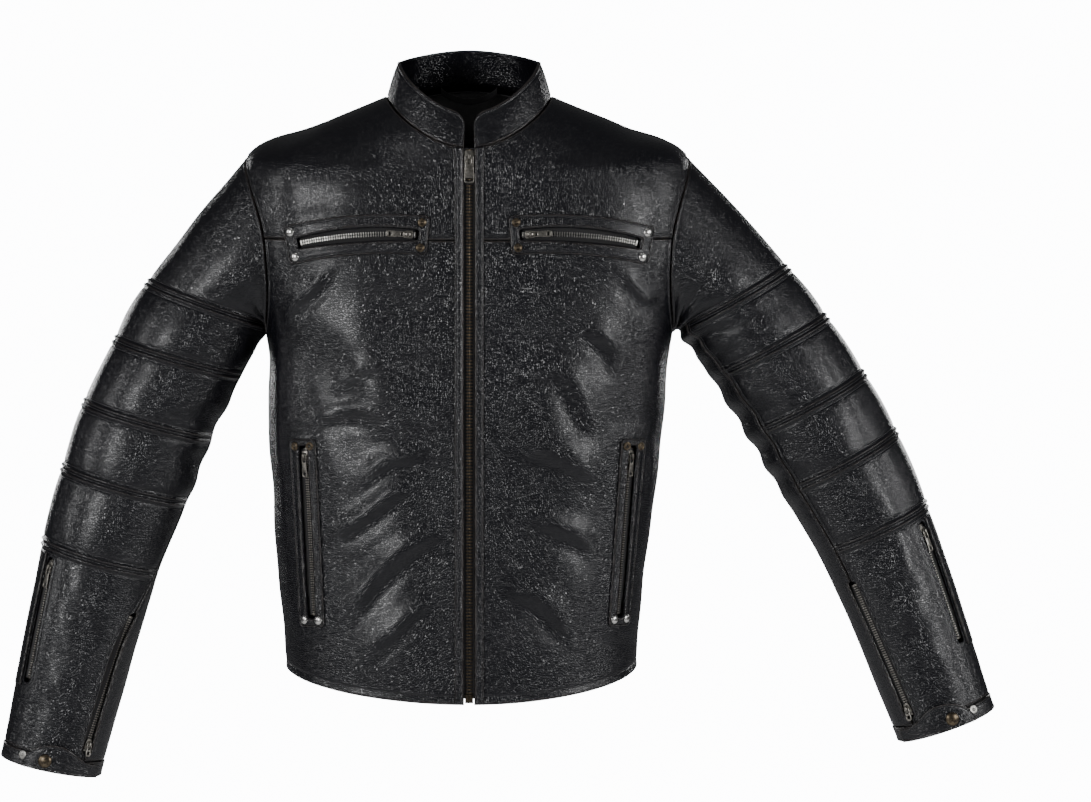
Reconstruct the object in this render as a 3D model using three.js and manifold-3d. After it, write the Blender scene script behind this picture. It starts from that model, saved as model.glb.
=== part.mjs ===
// A leather riding jacket, as it hangs on a display form: leather panels, nine metal zips with their
// sliders and pulls, four riveted pockets, two sleeve vents, snap straps at the cuffs, a collar, a lining
// and a hanger loop. Millimetres. +X is the wearer's left, -Y the front, +Z up. The origin is the middle of
// the neck opening, level with the back neck seam. Every zip stands in a group whose x runs across it, y
// along it and z out of the leather.
import * as THREE from "three";
import { mergeVertices } from "three/addons/utils/BufferGeometryUtils.js";
import Module from "manifold-3d";

const wasm = await Module();
wasm.setup();
const V = (x, y, z) => new THREE.Vector3(x, y, z);
const rad = THREE.MathUtils.degToRad;
const lerp = THREE.MathUtils.lerp;

// ---- driving dimensions -------------------------------------------------------------------------
const HEM_FRONT = 641; // below the back neck, at the centre front
const HEM_SIDE = 618;
const HEM_BACK = 626;
const HEM_HALF = 185; // half widths across the body
const WAIST_HALF = 198;
const CHEST_HALF = 214;
const SHOULDER_HALF = 232;
const NECK_HALF = 86;
const NECK_DROP = 70; // front neck below the back neck
const PIT_DROP = 268; // armpit below the back neck
const TIP_DROP = 78; // shoulder tip below the back neck
const YOKE_LEVEL = 5.1; // the front and back yoke seams' places between the body rings
const BACK_YOKE_LEVEL = 5.3;
const ZIP_TOP_Y = -96; // the front edge at the neck, and how far it comes forward to the hem
const ZIP_LEAN = 25;
const CHEST_REAR = 122; // how far the upper back stands behind the origin
const ARMHOLE_Y = 8; // the armholes' middle, and their half width front to back
const ARMHOLE_HALF = 66;
const ARMHOLE_SEAM = 1.3; // the wider gap round the armholes, where the panels meet at an angle
const LEATHER = 2; // a turned and lined leather panel
const SEAM = 0.6; // the gap between two panels at a seam
const COLLAR_HEIGHT = 38;
const COLLAR_WALL = 3;
const COLLAR_CORNER = 14;
const COLLAR_LEAN = 18; // degrees that it leans in
const PLACKET_GAP = 5.2; // half the gap between the front edges, over the main zip
const STRIP_WIDTH = 9.3; // the raised leather strip along each front edge
const SLEEVE_SCALE = 1; // length of the sleeves against the standard 600 mm
const CUFF_BAND = 17;
const STRAP_WIDTH = 29; // the cuff strap at its snap, and at its sewn end
const STRAP_ROOT = 14;
const BAND_EVERY = 15; // degrees between the corners shared by a sleeve and the body round the armhole
const CHEST_ZIP = 134;
const HAND_ZIP = 172;
const CUFF_ZIP = 146;
const VENT_ZIP = 124;
const RECESS = 3.3; // a zip lies this far under the leather's face, and deeper where the leather is round
const ROUND_RECESS = 4.4;
const LINING_DEPTH = 8.5; // the lining's face under the leather's face
const LINING_WALL = 1;
const CLEAR = 0.4; // between things that meet
const ARMHOLE_DEPTH = 30; // how far the sleeve linings run into the body, and how far they clear its armholes
const ARMHOLE_INSET = 8;
const LOOP_HALF = 30; // the hanger loop's half width, drop and tape
const LOOP_DROP = 12;
const LOOP_TAPE = 7;
const CUFF_ZIP_RAISE = 12; // the cuff zip's lower end above the band
const CUFF_PULL_HANG = 165; // degrees: the cuff pulls hang down past the end of their zips
const VENT_TOP = 5.2; // the vent's upper end, in sleeve stations, and its place round the arm in degrees
const VENT_TURN = 50;
const VENT_WELT = 13; // the vent's welt: its width, and how far it runs past the zip
const VENT_MARGIN = 8;
const STRAP_TURNS = [-22, 45, 70]; // the cuff strap's sewn end, snap and tip, in degrees from the front seam
const STRAP_LIES = [5, 3]; // its outer and inner faces over the sleeve's
const STRAP_RAISE = 0.6; // its lower edge above the cuff's end
const STRAP_SWING = 100;
const SNAP_SHARE = 0.6; // how far along the strap it is widest
const SNAP_RISE = 11.5; // the snap's middle above the cuff's end
const STUD_SPACING = 28; // degrees round the cuff
const BAND_PROUD = 0.8; // the band stands proud of the sleeve
// Snap profiles, as radius and height over the leather's face: the cap with its post and socket, and a stud.
const SNAP_PROFILE = [
  [0, 2], [2.6, 2], [2.6, 1.2], [5.2, 1.2], [5.2, 2.3], [1.6, 2.3],
  [1.6, 5.3], [7.2, 5.3], [6.6, 6.2], [4, 7], [0, 7.3],
];
const STUD_PROFILE = [[0, -1], [1.9, -1], [1.9, 1.7], [0, 1.7]];

// ---- materials ----------------------------------------------------------------------------------
const finish = (color, roughness, metalness) =>
  new THREE.MeshStandardMaterial({ color, roughness, metalness });
const LEATHER_BLACK = finish(0x17171a, 0.42, 0);
const TAPE_BLACK = finish(0x0d0d0f, 0.9, 0);
const GUNMETAL = finish(0x77736b, 0.35, 1);
const NICKEL = finish(0xa9a49c, 0.25, 1);
const LINING_BLACK = finish(0x0b0b0d, 0.6, 0);

const jacket = new THREE.Group();
function add(name, geometry, material, parent = jacket) {
  const mesh = new THREE.Mesh(geometry, material);
  mesh.name = name;
  parent.add(mesh);
  return mesh;
}

// ---- solids -------------------------------------------------------------------------------------
function solidOf(geometry) {
  const bare = new THREE.BufferGeometry();
  bare.setAttribute("position", geometry.getAttribute("position"));
  if (geometry.index) bare.setIndex(geometry.index);
  const merged = mergeVertices(bare, 1e-3);
  return new wasm.Manifold(
    new wasm.Mesh({
      numProp: 3,
      vertProperties: new Float32Array(merged.attributes.position.array),
      triVerts: new Uint32Array(merged.index.array),
    }),
  );
}

function geometryOf(solid) {
  const mesh = solid.getMesh();
  const count = mesh.vertProperties.length / mesh.numProp;
  const flat = new Float32Array(count * 3);
  for (let i = 0; i < count; i++)
    flat.set(mesh.vertProperties.subarray(i * mesh.numProp, i * mesh.numProp + 3), i * 3);
  return new THREE.BufferGeometry()
    .setAttribute("position", new THREE.BufferAttribute(flat, 3))
    .setIndex(new THREE.BufferAttribute(new Uint32Array(mesh.triVerts), 1));
}

const joined = (...parts) =>
  geometryOf(parts.map(solidOf).reduce((a, b) => a.add(b)));
// A cut can shave off crumbs beside a seam, so only the largest piece is kept.
function cut(part, ...tools) {
  const pieces = tools.map(solidOf).reduce((a, b) => a.subtract(b), solidOf(part)).decompose();
  return geometryOf(pieces.sort((a, b) => b.volume() - a.volume())[0]);
}

// A closed mesh from points and triangles, turned so that its faces point out.
function closed(points, faces) {
  let volume = 0;
  for (const [a, b, c] of faces)
    volume += points[a].dot(points[b].clone().cross(points[c]));
  const index = faces.flatMap(([a, b, c]) => (volume < 0 ? [a, c, b] : [a, b, c]));
  const flat = points.flatMap((p) => [p.x, p.y, p.z]);
  return new THREE.BufferGeometry()
    .setAttribute("position", new THREE.Float32BufferAttribute(flat, 3))
    .setIndex(index);
}

// A sheet of leather: at(i, j) gives a point and its outward normal, and the sheet lies between two heights
// on it. Wrapped sheets run round and meet themselves.
function sheet(at, rows, columns, top, bottom, wrapped = false) {
  const wide = wrapped ? columns : columns + 1;
  const points = [];
  for (const height of [top, bottom])
    for (let i = 0; i <= rows; i++)
      for (let j = 0; j < wide; j++) {
        const { point, normal } = at(i / rows, j / columns);
        points.push(point.clone().addScaledVector(normal, height));
      }
  const layer = (rows + 1) * wide;
  const id = (side, i, j) => side * layer + i * wide + (j % wide);
  const faces = [];
  const quad = (a, b, c, d) => faces.push([a, b, c], [a, c, d]);
  for (let i = 0; i < rows; i++)
    for (let j = 0; j < columns; j++) {
      quad(id(0, i, j), id(0, i, j + 1), id(0, i + 1, j + 1), id(0, i + 1, j));
      quad(id(1, i, j), id(1, i + 1, j), id(1, i + 1, j + 1), id(1, i, j + 1));
    }
  for (let j = 0; j < columns; j++) {
    quad(id(0, 0, j), id(1, 0, j), id(1, 0, j + 1), id(0, 0, j + 1));
    quad(id(0, rows, j), id(0, rows, j + 1), id(1, rows, j + 1), id(1, rows, j));
  }
  if (!wrapped)
    for (let i = 0; i < rows; i++) {
      quad(id(0, i, 0), id(0, i + 1, 0), id(1, i + 1, 0), id(1, i, 0));
      quad(id(0, i, columns), id(1, i, columns), id(1, i + 1, columns), id(0, i + 1, columns));
    }
  return closed(points, faces);
}

// A closed solid through a row of rings with the same number of points, with a fan across each end.
function loft(rings) {
  const n = rings[0].length;
  const points = rings.flat();
  const faces = [];
  for (let i = 0; i + 1 < rings.length; i++)
    for (let j = 0; j < n; j++) {
      const [a, b] = [i * n + j, i * n + ((j + 1) % n)];
      faces.push([a, b, b + n], [a, b + n, a + n]);
    }
  const last = (rings.length - 1) * n;
  for (let j = 1; j + 1 < n; j++)
    faces.push([0, j + 1, j], [last, last + j, last + j + 1]);
  return closed(points, faces);
}

// A smooth run through values given at 0, 1, 2 and so on.
function through(values, t) {
  const last = values.length - 1;
  const i = Math.min(Math.max(Math.floor(t), 0), last - 1);
  const f = t - i;
  const [b, c] = [values[i], values[i + 1]];
  const a = i > 0 ? values[i - 1] : 2 * b - c;
  const d = i + 2 <= last ? values[i + 2] : 2 * c - b;
  const [p, q] = [(c - a) / 2, (d - b) / 2];
  const h = f * f * (3 - 2 * f);
  return b * (1 - h) + c * h + p * f * (1 - f) ** 2 - q * f * f * (1 - f);
}

// ---- the body's surface -------------------------------------------------------------------------
// Rings round the body from the hem up to the neck seam. front, side and back are levels; half is the half
// width and shift how far the ring hangs towards the wearer's right; middle and rear are places along Y.
const PIT = 4;
const TIP = 6;
const NECK = 8;
const RINGS = [
  {
    front: -HEM_FRONT, side: -HEM_SIDE, back: -HEM_BACK,
    half: HEM_HALF, shift: 8, middle: 0, rear: CHEST_REAR - 16,
  },
  {
    front: -570, side: -560, back: -562,
    half: (HEM_HALF + WAIST_HALF) / 2 - 2, shift: 9, middle: 0, rear: CHEST_REAR - 15,
  },
  {
    front: -484, side: -478, back: -478,
    half: WAIST_HALF, shift: 7, middle: 1, rear: CHEST_REAR - 18,
  },
  {
    front: -375, side: -372, back: -370,
    half: (WAIST_HALF + CHEST_HALF) / 2 + 2, shift: 4, middle: 4, rear: CHEST_REAR - 10,
  },
  {
    front: -PIT_DROP, side: -PIT_DROP, back: -PIT_DROP,
    half: CHEST_HALF, shift: 0, middle: ARMHOLE_Y, rear: CHEST_REAR,
  },
  {
    front: -172, side: -172, back: -165,
    half: SHOULDER_HALF - 2, shift: 1, middle: ARMHOLE_Y, rear: CHEST_REAR + 2,
  },
  {
    front: -112, side: -TIP_DROP, back: -62,
    half: SHOULDER_HALF, shift: 2, middle: ARMHOLE_Y, rear: CHEST_REAR - 14,
  },
  {
    front: -88, side: -46, back: -24,
    half: (SHOULDER_HALF + NECK_HALF) / 2 + 2, shift: 1, middle: 0, rear: CHEST_REAR - 34,
  },
  {
    front: -NECK_DROP, side: -15, back: 0,
    half: NECK_HALF, shift: 0, middle: -14, rear: CHEST_REAR - 56,
  },
];
const SQUARENESS = [2.4, 2.4, 2.4, 2.5, 2.7, 3, 2.6, 2.4, 2.4];
const frontY = (z) => ZIP_TOP_Y + ((z + NECK_DROP) * ZIP_LEAN) / (HEM_FRONT - NECK_DROP);

function bodyPoint(level, angle) {
  const ring = {};
  for (const key of Object.keys(RINGS[0]))
    ring[key] = through(RINGS.map((r) => r[key]), level);
  const square = through(SQUARENESS, level);
  const [s, c] = [Math.sin(angle), Math.cos(angle)];
  const reach = (Math.abs(s) ** square + Math.abs(c) ** square) ** (-1 / square);
  const half = ring.half + (s < 0 ? ring.shift : -ring.shift);
  const depth = c > 0 ? ring.middle - frontY(ring.front) : ring.rear - ring.middle;
  const end = c > 0 ? ring.front : ring.back;
  return V(half * reach * s, ring.middle - depth * reach * c, ring.side + (end - ring.side) * c * c);
}

function bodyAt(level, angle) {
  const step = 0.01;
  const along = bodyPoint(level, angle + step).sub(bodyPoint(level, angle - step));
  const up = bodyPoint(level + step, angle).sub(bodyPoint(level - step, angle));
  return { point: bodyPoint(level, angle), normal: along.cross(up).normalize() };
}

// The armhole is an oval seen from the side, from the shoulder tip to the armpit.
const ARMHOLE_Z = -(TIP_DROP + PIT_DROP) / 2;
const ARMHOLE_RISE = (PIT_DROP - TIP_DROP) / 2;
function insideArmhole(point, margin) {
  const across = (point.y - ARMHOLE_Y) / (ARMHOLE_HALF + margin);
  const upward = (point.z - ARMHOLE_Z) / (ARMHOLE_RISE + margin);
  return across ** 2 + upward ** 2 < 1;
}

// The angle at which a panel ends beside the armhole or at the side or shoulder seam. toward is +1 at the
// front.
function edgeAngle(level, side, toward, margin) {
  const seam = Math.PI / 2;
  const gap = toward * (SEAM / 2 / through(RINGS.map((r) => r.rear), level));
  if (!insideArmhole(bodyPoint(level, side * seam), margin)) return side * (seam - gap);
  let [inside, outside] = [seam, seam - toward * rad(75)];
  for (let i = 0; i < 30; i++) {
    const middle = (inside + outside) / 2;
    if (insideArmhole(bodyPoint(level, side * middle), margin)) inside = middle;
    else outside = middle;
  }
  return side * outside;
}

// The angle at which the body's front lies a given distance from the centre line.
function angleAcross(level, x) {
  let angle = 0;
  for (let i = 0; i < 12; i++) angle += (x - bodyPoint(level, angle).x) / 200;
  return angle;
}

// The place on a surface nearest a point, from a first guess.
function settle(surface, point, guess) {
  let [a, b] = guess;
  const step = 1e-3;
  for (let i = 0; i < 12; i++) {
    const here = surface(a, b);
    const da = surface(a + step, b).sub(here).divideScalar(step);
    const db = surface(a, b + step).sub(here).divideScalar(step);
    const off = point.clone().sub(here);
    const [aa, ab, bb] = [da.dot(da), da.dot(db), db.dot(db)];
    const [ra, rb] = [off.dot(da), off.dot(db)];
    const det = aa * bb - ab * ab;
    a += (ra * bb - rb * ab) / det;
    b += (rb * aa - ra * ab) / det;
  }
  return [a, b];
}

// ---- a zip --------------------------------------------------------------------------------------
// Sizes of the heavy front zip and of the lighter ones.
// pull is its width, length and thickness; droop is how far the tape's edges fall back to follow the leather.
const HEAVY = {
  tooth: 3, thick: 1.4, tape: 11, droop: 0.3,
  width: 9.6, length: 13, plate: 1.2, window: 3.4, pull: [10.4, 27, 1.8],
};
const LIGHT = {
  tooth: 2.2, thick: 1.1, tape: 7.5, droop: 0.6,
  width: 8, length: 10, plate: 1, window: 3, pull: [6.8, 22, 1.5],
};
const SHORT = { ...LIGHT, droop: 1.2, pull: [6.4, 13, 1.5] };
const SPLIT = 0.5; // half the gap between the two rows of teeth
const WEB = 0.25; // half the slider's middle web, in that gap
const SLIP = 0.3; // the slider's clearance over the teeth
const PULL_SWING = 150; // degrees that a pull can turn on its bridge

// A path holds at(t), which gives a place and its axes for a distance t from the slider's parked end. y
// points to the parked end, z out of the leather.
function straightPath(parked, far, normal) {
  const y = parked.clone().sub(far).normalize();
  const z = normal.clone().addScaledVector(y, -normal.dot(y)).normalize();
  const x = y.clone().cross(z);
  const length = parked.distanceTo(far);
  return { length, at: (t) => ({ origin: parked.clone().addScaledVector(y, -t), x, y, z }) };
}

function arcPath(parked, middle, far, normal) {
  const [a, b] = [middle.clone().sub(parked), far.clone().sub(parked)];
  const axis = a.clone().cross(b).normalize();
  const centre = b.clone().multiplyScalar(a.lengthSq()).sub(a.clone().multiplyScalar(b.lengthSq()))
    .cross(a.clone().cross(b)).divideScalar(2 * a.clone().cross(b).lengthSq()).add(parked);
  const radius = centre.distanceTo(parked);
  const sweep = parked.clone().sub(centre).angleTo(far.clone().sub(centre));
  const turned = (v, angle) => v.clone().applyAxisAngle(axis, angle);
  const at = (t) => {
    const angle = t / radius;
    const origin = turned(parked.clone().sub(centre), angle).add(centre);
    const y = turned(axis.clone().cross(parked.clone().sub(centre)).normalize(), angle).negate();
    const z = turned(normal, angle - sweep / 2);
    z.addScaledVector(y, -z.dot(y)).normalize();
    return { origin, x: y.clone().cross(z), y, z };
  };
  return { length: radius * sweep, at, centre, axis, radius };
}

// A section's corners, given as places across and out, swept along a path between two distances.
function bar(path, from, to, section, steps) {
  const rings = [];
  for (let i = 0; i <= steps; i++) {
    const { origin, x, z } = path.at(lerp(from, to, i / steps));
    rings.push(section.map(([a, c]) => origin.clone().addScaledVector(x, a).addScaledVector(z, c)));
  }
  return loft(rings);
}

const oblong = (x0, x1, z0, z1) => [[x0, z0], [x1, z0], [x1, z1], [x0, z1]];

// One row of teeth on its tape, side -1 or +1.
function zipHalf(path, size, side, from, to, steps) {
  const [inner, tooth, thick, half, fall] = [SPLIT, SPLIT + size.tooth, size.thick, 0.4, size.droop];
  const section = [
    [inner, 0], [inner, -thick], [tooth, -thick], [tooth, -half], [size.tape, -half - fall],
    [size.tape, half - fall], [tooth, half], [tooth, thick], [inner, thick],
  ];
  return bar(path, from, to, section.map(([x, z]) => [side * x, z]), steps);
}

// Both halves with a stop at each end.
function closedZip(path, size, steps) {
  const reach = size.tooth + SPLIT - 0.2;
  const thick = size.thick + 0.1;
  const stop = (from, to) => bar(path, from, to, oblong(-reach, reach, -thick, thick), 1);
  return joined(
    zipHalf(path, size, -1, -2, path.length, steps),
    zipHalf(path, size, 1, -2, path.length, steps),
    stop(-2.2, -0.4),
    stop(path.length - 2, path.length + 0.2),
  );
}

function placed(group, frame) {
  group.position.copy(frame.origin);
  group.quaternion.setFromRotationMatrix(new THREE.Matrix4().makeBasis(frame.x, frame.y, frame.z));
  jacket.add(group);
  return group;
}

const box = (w, l, h, x, y, z) => new THREE.BoxGeometry(w, l, h).translate(x, y, z);

// The slider: two plates joined by a web between the rows of teeth, and a bridge for the pull. Its origin
// is the middle of its chain.
function sliderShape(size) {
  const inner = size.thick + SLIP;
  const face = inner + size.plate;
  const post = 1.2;
  const [reach, rise] = [2 + post, size.window + 1.1];
  const arch = new THREE.Shape([
    new THREE.Vector2(-reach, -0.3), new THREE.Vector2(reach, -0.3),
    new THREE.Vector2(reach, rise - 1), new THREE.Vector2(reach - 1, rise),
    new THREE.Vector2(1 - reach, rise), new THREE.Vector2(-reach, rise - 1),
  ]);
  arch.holes.push(new THREE.Path([
    new THREE.Vector2(-2, 0.2), new THREE.Vector2(-2, size.window),
    new THREE.Vector2(2, size.window), new THREE.Vector2(2, 0.2),
  ]));
  const bridge = new THREE.ExtrudeGeometry(arch, { depth: 2.4, bevelEnabled: false })
    .translate(0, 0, -1.2).rotateY(Math.PI / 2).rotateX(Math.PI / 2).translate(0, 0, face);
  const [w, l] = [size.width / 2, size.length / 2];
  const nose = new THREE.Shape([
    new THREE.Vector2(1.5 - w, -l), new THREE.Vector2(w - 1.5, -l), new THREE.Vector2(w, 0.2 * l),
    new THREE.Vector2(w - 0.8, l), new THREE.Vector2(0.8 - w, l), new THREE.Vector2(-w, 0.2 * l),
  ]);
  const plate = () => new THREE.ExtrudeGeometry(nose, { depth: size.plate, bevelEnabled: false });
  return joined(
    plate().translate(0, 0, inner),
    plate().translate(0, 0, -inner - size.plate),
    box(2 * WEB, size.length * 0.6, 2 * inner + 0.4, 0, size.length * 0.1, 0),
    bridge,
  );
}

// The height of the pull's bar over the middle of the chain.
const pullHeight = (size) => size.thick + SLIP + size.plate + size.window / 2;

// The pull hangs along -y from its bar, which is its origin.
function pullShape(size) {
  const [w, l, h] = size.pull;
  const bevel = 1.2;
  const outline = new THREE.Shape([
    new THREE.Vector2(-w / 2 + bevel, 0.8), new THREE.Vector2(-w / 2, -bevel),
    new THREE.Vector2(-w / 2, 1 - l), new THREE.Vector2(-w / 2 + 1, -l),
    new THREE.Vector2(w / 2 - 1, -l), new THREE.Vector2(w / 2, 1 - l),
    new THREE.Vector2(w / 2, -bevel), new THREE.Vector2(w / 2 - bevel, 0.8),
  ]);
  const hole = (half, from, to) => new THREE.Path([
    new THREE.Vector2(-half, -from), new THREE.Vector2(half, -from),
    new THREE.Vector2(half, -to), new THREE.Vector2(-half, -to),
  ]);
  outline.holes.push(hole(1.75, 0.8, 6.8), hole(w / 2 - 1.6, l - 5, l - 1.8));
  return new THREE.ExtrudeGeometry(outline, { depth: h, bevelEnabled: false }).translate(0, 0, -h / 2);
}

// The slider and its pull, with the slider's middle a given distance from the path's parked end. hang is
// the pull's angle: 0 lies back over the chain and 180 lies beyond the end. The slider can go on to the
// other end, or until the pull that lies ahead of it in a slot meets the slot's end.
function addSlider(name, path, size, hang, slotEnd = Infinity) {
  const parked = size.length / 2 + 1;
  const frame = path.at(parked);
  const group = placed(new THREE.Group(), frame);
  const slider = add(name + "_slider", sliderShape(size), GUNMETAL, group);
  const travel = Math.min(path.length - parked - 2, slotEnd - size.pull[1] - CLEAR) - parked;
  slider.userData.joint = path.axis
    ? { type: "hinge", axis: path.axis, origin: path.centre, range: [0, travel / path.radius] }
    : { type: "slide", axis: frame.y.clone().negate(), origin: frame.origin, range: [0, travel] };
  const pull = add(name + "_pull", pullShape(size), GUNMETAL, group);
  pull.position.z = pullHeight(size);
  pull.rotation.x = -rad(hang);
  const lifts = hang < 90 ? [0, rad(PULL_SWING)] : [-rad(PULL_SWING), 0];
  const bridge = frame.origin.clone().addScaledVector(frame.z, pullHeight(size));
  pull.userData.joint = { type: "hinge", axis: frame.x.clone().negate(), origin: bridge, range: lifts };
}

// ---- sleeve surface -----------------------------------------------------------------------------
// Stations down each sleeve: the run from the one before, the run's lean from upright for each arm, how far
// the ring is turned from square to the run, its half width and half depth, and its place along Y. Station 0
// is the armhole.
const STATIONS = [
  { run: 80, lean: [41, 45], turn: [-16, -12], half: 68, deep: 60, y: 6 },
  { run: 65, lean: [30, 38], turn: [-12, -8], half: 69, deep: 60, y: 3 },
  { run: 74, lean: [26, 33], turn: [-7, -3], half: 70, deep: 59, y: 0 },
  { run: 72, lean: [20, 29], turn: [-3, 0], half: 68.5, deep: 57, y: -5 },
  { run: 80, lean: [18, 27], turn: [0, 0], half: 63, deep: 53, y: -13 },
  { run: 70, lean: [14, 22], turn: [0, 0], half: 60, deep: 49, y: -22 },
  { run: 70, lean: [13, 20], turn: [-1, 0], half: 56.5, deep: 44, y: -31 },
  { run: 67, lean: [13, 20], turn: [-1, 0], half: 53.5, deep: 40, y: -39 },
  { run: CUFF_BAND, lean: [13, 20], turn: [-1, 0], half: 53, deep: 39.5, y: -41 },
];
const LAST = STATIONS.length;
const CUFF_TOP = LAST - 1;
// Where the front sleeve seam lies round each arm at every station, in degrees from the front, and the back
// seam.
const FRONT_SEAM = [
  [-75, -80, -84, -86, -84, -74, -50, -44, -42, -42],
  [-60, -57, -54, -50, -49, -48, -46, -43, -41, -41],
];
const BACK_SEAM = 210;
const ARM_REACH = [1, 0.975]; // the left arm is held a little further forward

// The place at a turn round the armhole's edge, or a margin outside it, as a level and an angle of the body.
// A turn of 90 degrees is the top.
function armholeSpot(side, turn, margin = 0) {
  const y = ARMHOLE_Y - (ARMHOLE_HALF + margin) * Math.cos(turn);
  const z = ARMHOLE_Z + (ARMHOLE_RISE + margin) * Math.sin(turn);
  const guess = [PIT + 1 + Math.sin(turn), side * (Math.PI / 2 - 0.4 * Math.cos(turn))];
  const flat = (level, angle) => bodyPoint(level, angle).setX(level * 1e-3);
  return settle(flat, V(guess[0] * 1e-3, y, z), guess);
}

function sleeveOf(side) {
  const arm = side < 0 ? 0 : 1;
  const centres = [V(side * (SHOULDER_HALF + CHEST_HALF) / 2, ARMHOLE_Y, ARMHOLE_Z)];
  const rings = STATIONS.map((s, i) => {
    const before = centres[i];
    const lean = rad(s.lean[arm]);
    const run = s.run * ARM_REACH[arm] * (i < LAST - 1 ? SLEEVE_SCALE : 1);
    const centre = V(before.x + side * run * Math.sin(lean), s.y, before.z - run * Math.cos(lean));
    centres.push(centre);
    const tilt = (lean + rad(STATIONS[Math.min(i + 1, LAST - 1)].lean[arm])) / 2 + rad(s.turn[arm]);
    return { centre, out: V(side * Math.cos(tilt), 0, Math.sin(tilt)).multiplyScalar(s.half), deep: s.deep };
  });
  const columns = new Map();
  const column = (turn) => {
    const key = turn.toFixed(6);
    if (!columns.has(key))
      columns.set(key, [bodyPoint(...armholeSpot(side, turn)), ...rings.map((r) => r.centre.clone()
        .addScaledVector(r.out, Math.sin(turn)).add(V(0, -r.deep * Math.cos(turn), 0)))]);
    return columns.get(key);
  };
  const point = (station, turn) => {
    const points = column(turn);
    return V(...["x", "y", "z"].map((axis) => through(points.map((p) => p[axis]), station)));
  };
  const at = (station, turn) => {
    const down = point(station + 0.01, turn).sub(point(station - 0.01, turn));
    const round = point(station, turn + 0.01).sub(point(station, turn - 0.01));
    return { point: point(station, turn), normal: down.cross(round).normalize().multiplyScalar(side) };
  };
  const seam = (station) => rad(through(FRONT_SEAM[arm], station));
  return { side, name: side < 0 ? "right" : "left", point, at, centres, seam };
}

// ---- pockets ------------------------------------------------------------------------------------
// The leather round a zip's path: patch(across, along) is the place on the surface over a place on the path.
function patchOn(point, at, path, guess, recess) {
  return (across, along) => {
    const { origin, x, z } = path.at(along);
    const wanted = origin.clone().addScaledVector(x, across).addScaledVector(z, recess);
    return at(...settle(point, wanted, guess));
  };
}

// A place sunk under the leather, for the end of a zip.
function sunk(at, spot, depth = RECESS) {
  const { point, normal } = at(...spot);
  return { point: point.clone().addScaledVector(normal, -depth), normal };
}

const SLOT = 4.9; // half the slot over a light zip, and how far it runs past the zip's ends
const SLOT_HEAD = 4.5;
const slotEnd = (path) => path.length + SLOT_HEAD / 2;
const slotOver = (path, depth) =>
  bar(path, -SLOT_HEAD, slotEnd(path), oblong(-SLOT, SLOT, -depth, 14), path.axis ? 4 : 1);

// A flat frame of leather laid round a zip's mouth.
const WELT = [0.6, 2.1];
function weltShape(patch, path, half, margin, rows) {
  const spot = (i, j) => patch(lerp(-half, half, j), lerp(-margin, path.length + margin, i));
  return cut(sheet(spot, rows, 2, WELT[1], WELT[0]), slotOver(path, 2));
}

// A dome-headed rivet turned at a place on the leather, and the hole it needs.
const RIVET_RADIUS = 4.7;
const RIVET_POST = 1.5;
function turnedAt({ point, normal }, profile, sides) {
  const shape = new THREE.LatheGeometry(profile.map(([r, h]) => new THREE.Vector2(r, h)), sides);
  shape.applyQuaternion(new THREE.Quaternion().setFromUnitVectors(V(0, 1, 0), normal));
  return shape.translate(point.x, point.y, point.z);
}
const RIVET_HEAD = [WELT[1] + 0.3, 4.1];
const rivet = (place, reach) => turnedAt(place, [
  [0, -reach], [RIVET_POST, -reach], [RIVET_POST, RIVET_HEAD[0]],
  [RIVET_RADIUS, RIVET_HEAD[0]], [RIVET_RADIUS - 1, RIVET_HEAD[1] - 0.6], [0, RIVET_HEAD[1]]], 8);
const HOLE_RADIUS = RIVET_POST + CLEAR;
const rivetHole = (place) => turnedAt(place, [[0, -9], [HOLE_RADIUS, -9], [HOLE_RADIUS, 6], [0, 6]], 8);

// Four rivets, one in each corner of a welt, on a thin stay behind the leather that lies round the zip.
const RIVET_INSET = 7.5;
const STAY_HALF = 0.9;
const STAY = [-LEATHER - 1.9, -LEATHER - 2.5];
function rivetsOn(name, path, patch, places, half, margin) {
  const [x, low, high] = [half - RIVET_INSET, RIVET_INSET - margin, path.length + margin - RIVET_INSET];
  const rail = (side) => sheet((i, j) =>
    patch(side * x + lerp(-STAY_HALF, STAY_HALF, j), lerp(low, high, i)), 6, 1, ...STAY);
  const tie = (along) => sheet((i, j) =>
    patch(lerp(-x, x, j), along + lerp(-STAY_HALF, STAY_HALF, i)), 1, 4, ...STAY);
  const rivets = places.map((place) => rivet(place, -STAY[1]));
  add(name + "_rivets", joined(...rivets, rail(-1), rail(1), tie(low), tie(high)), NICKEL);
}

// A pocket: its welt, zip, slider, pull and rivets. It gives back what has to be cut out of the panels
// behind it.
function addPocket(name, path, patch, half, margin, rows) {
  const places = [];
  for (const across of [RIVET_INSET - half, half - RIVET_INSET])
    for (const along of [RIVET_INSET - margin, path.length + margin - RIVET_INSET])
      places.push(patch(across, along));
  const holes = places.map(rivetHole);
  add(name + "_welt", cut(weltShape(patch, path, half, margin, rows), ...holes), LEATHER_BLACK);
  add(name + "_zip", closedZip(path, LIGHT, path.axis ? 6 : 1), TAPE_BLACK);
  addSlider(name, path, LIGHT, 0, slotEnd(path));
  rivetsOn(name, path, patch, places, half, margin);
  return [slotOver(path, 6), ...holes];
}

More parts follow.
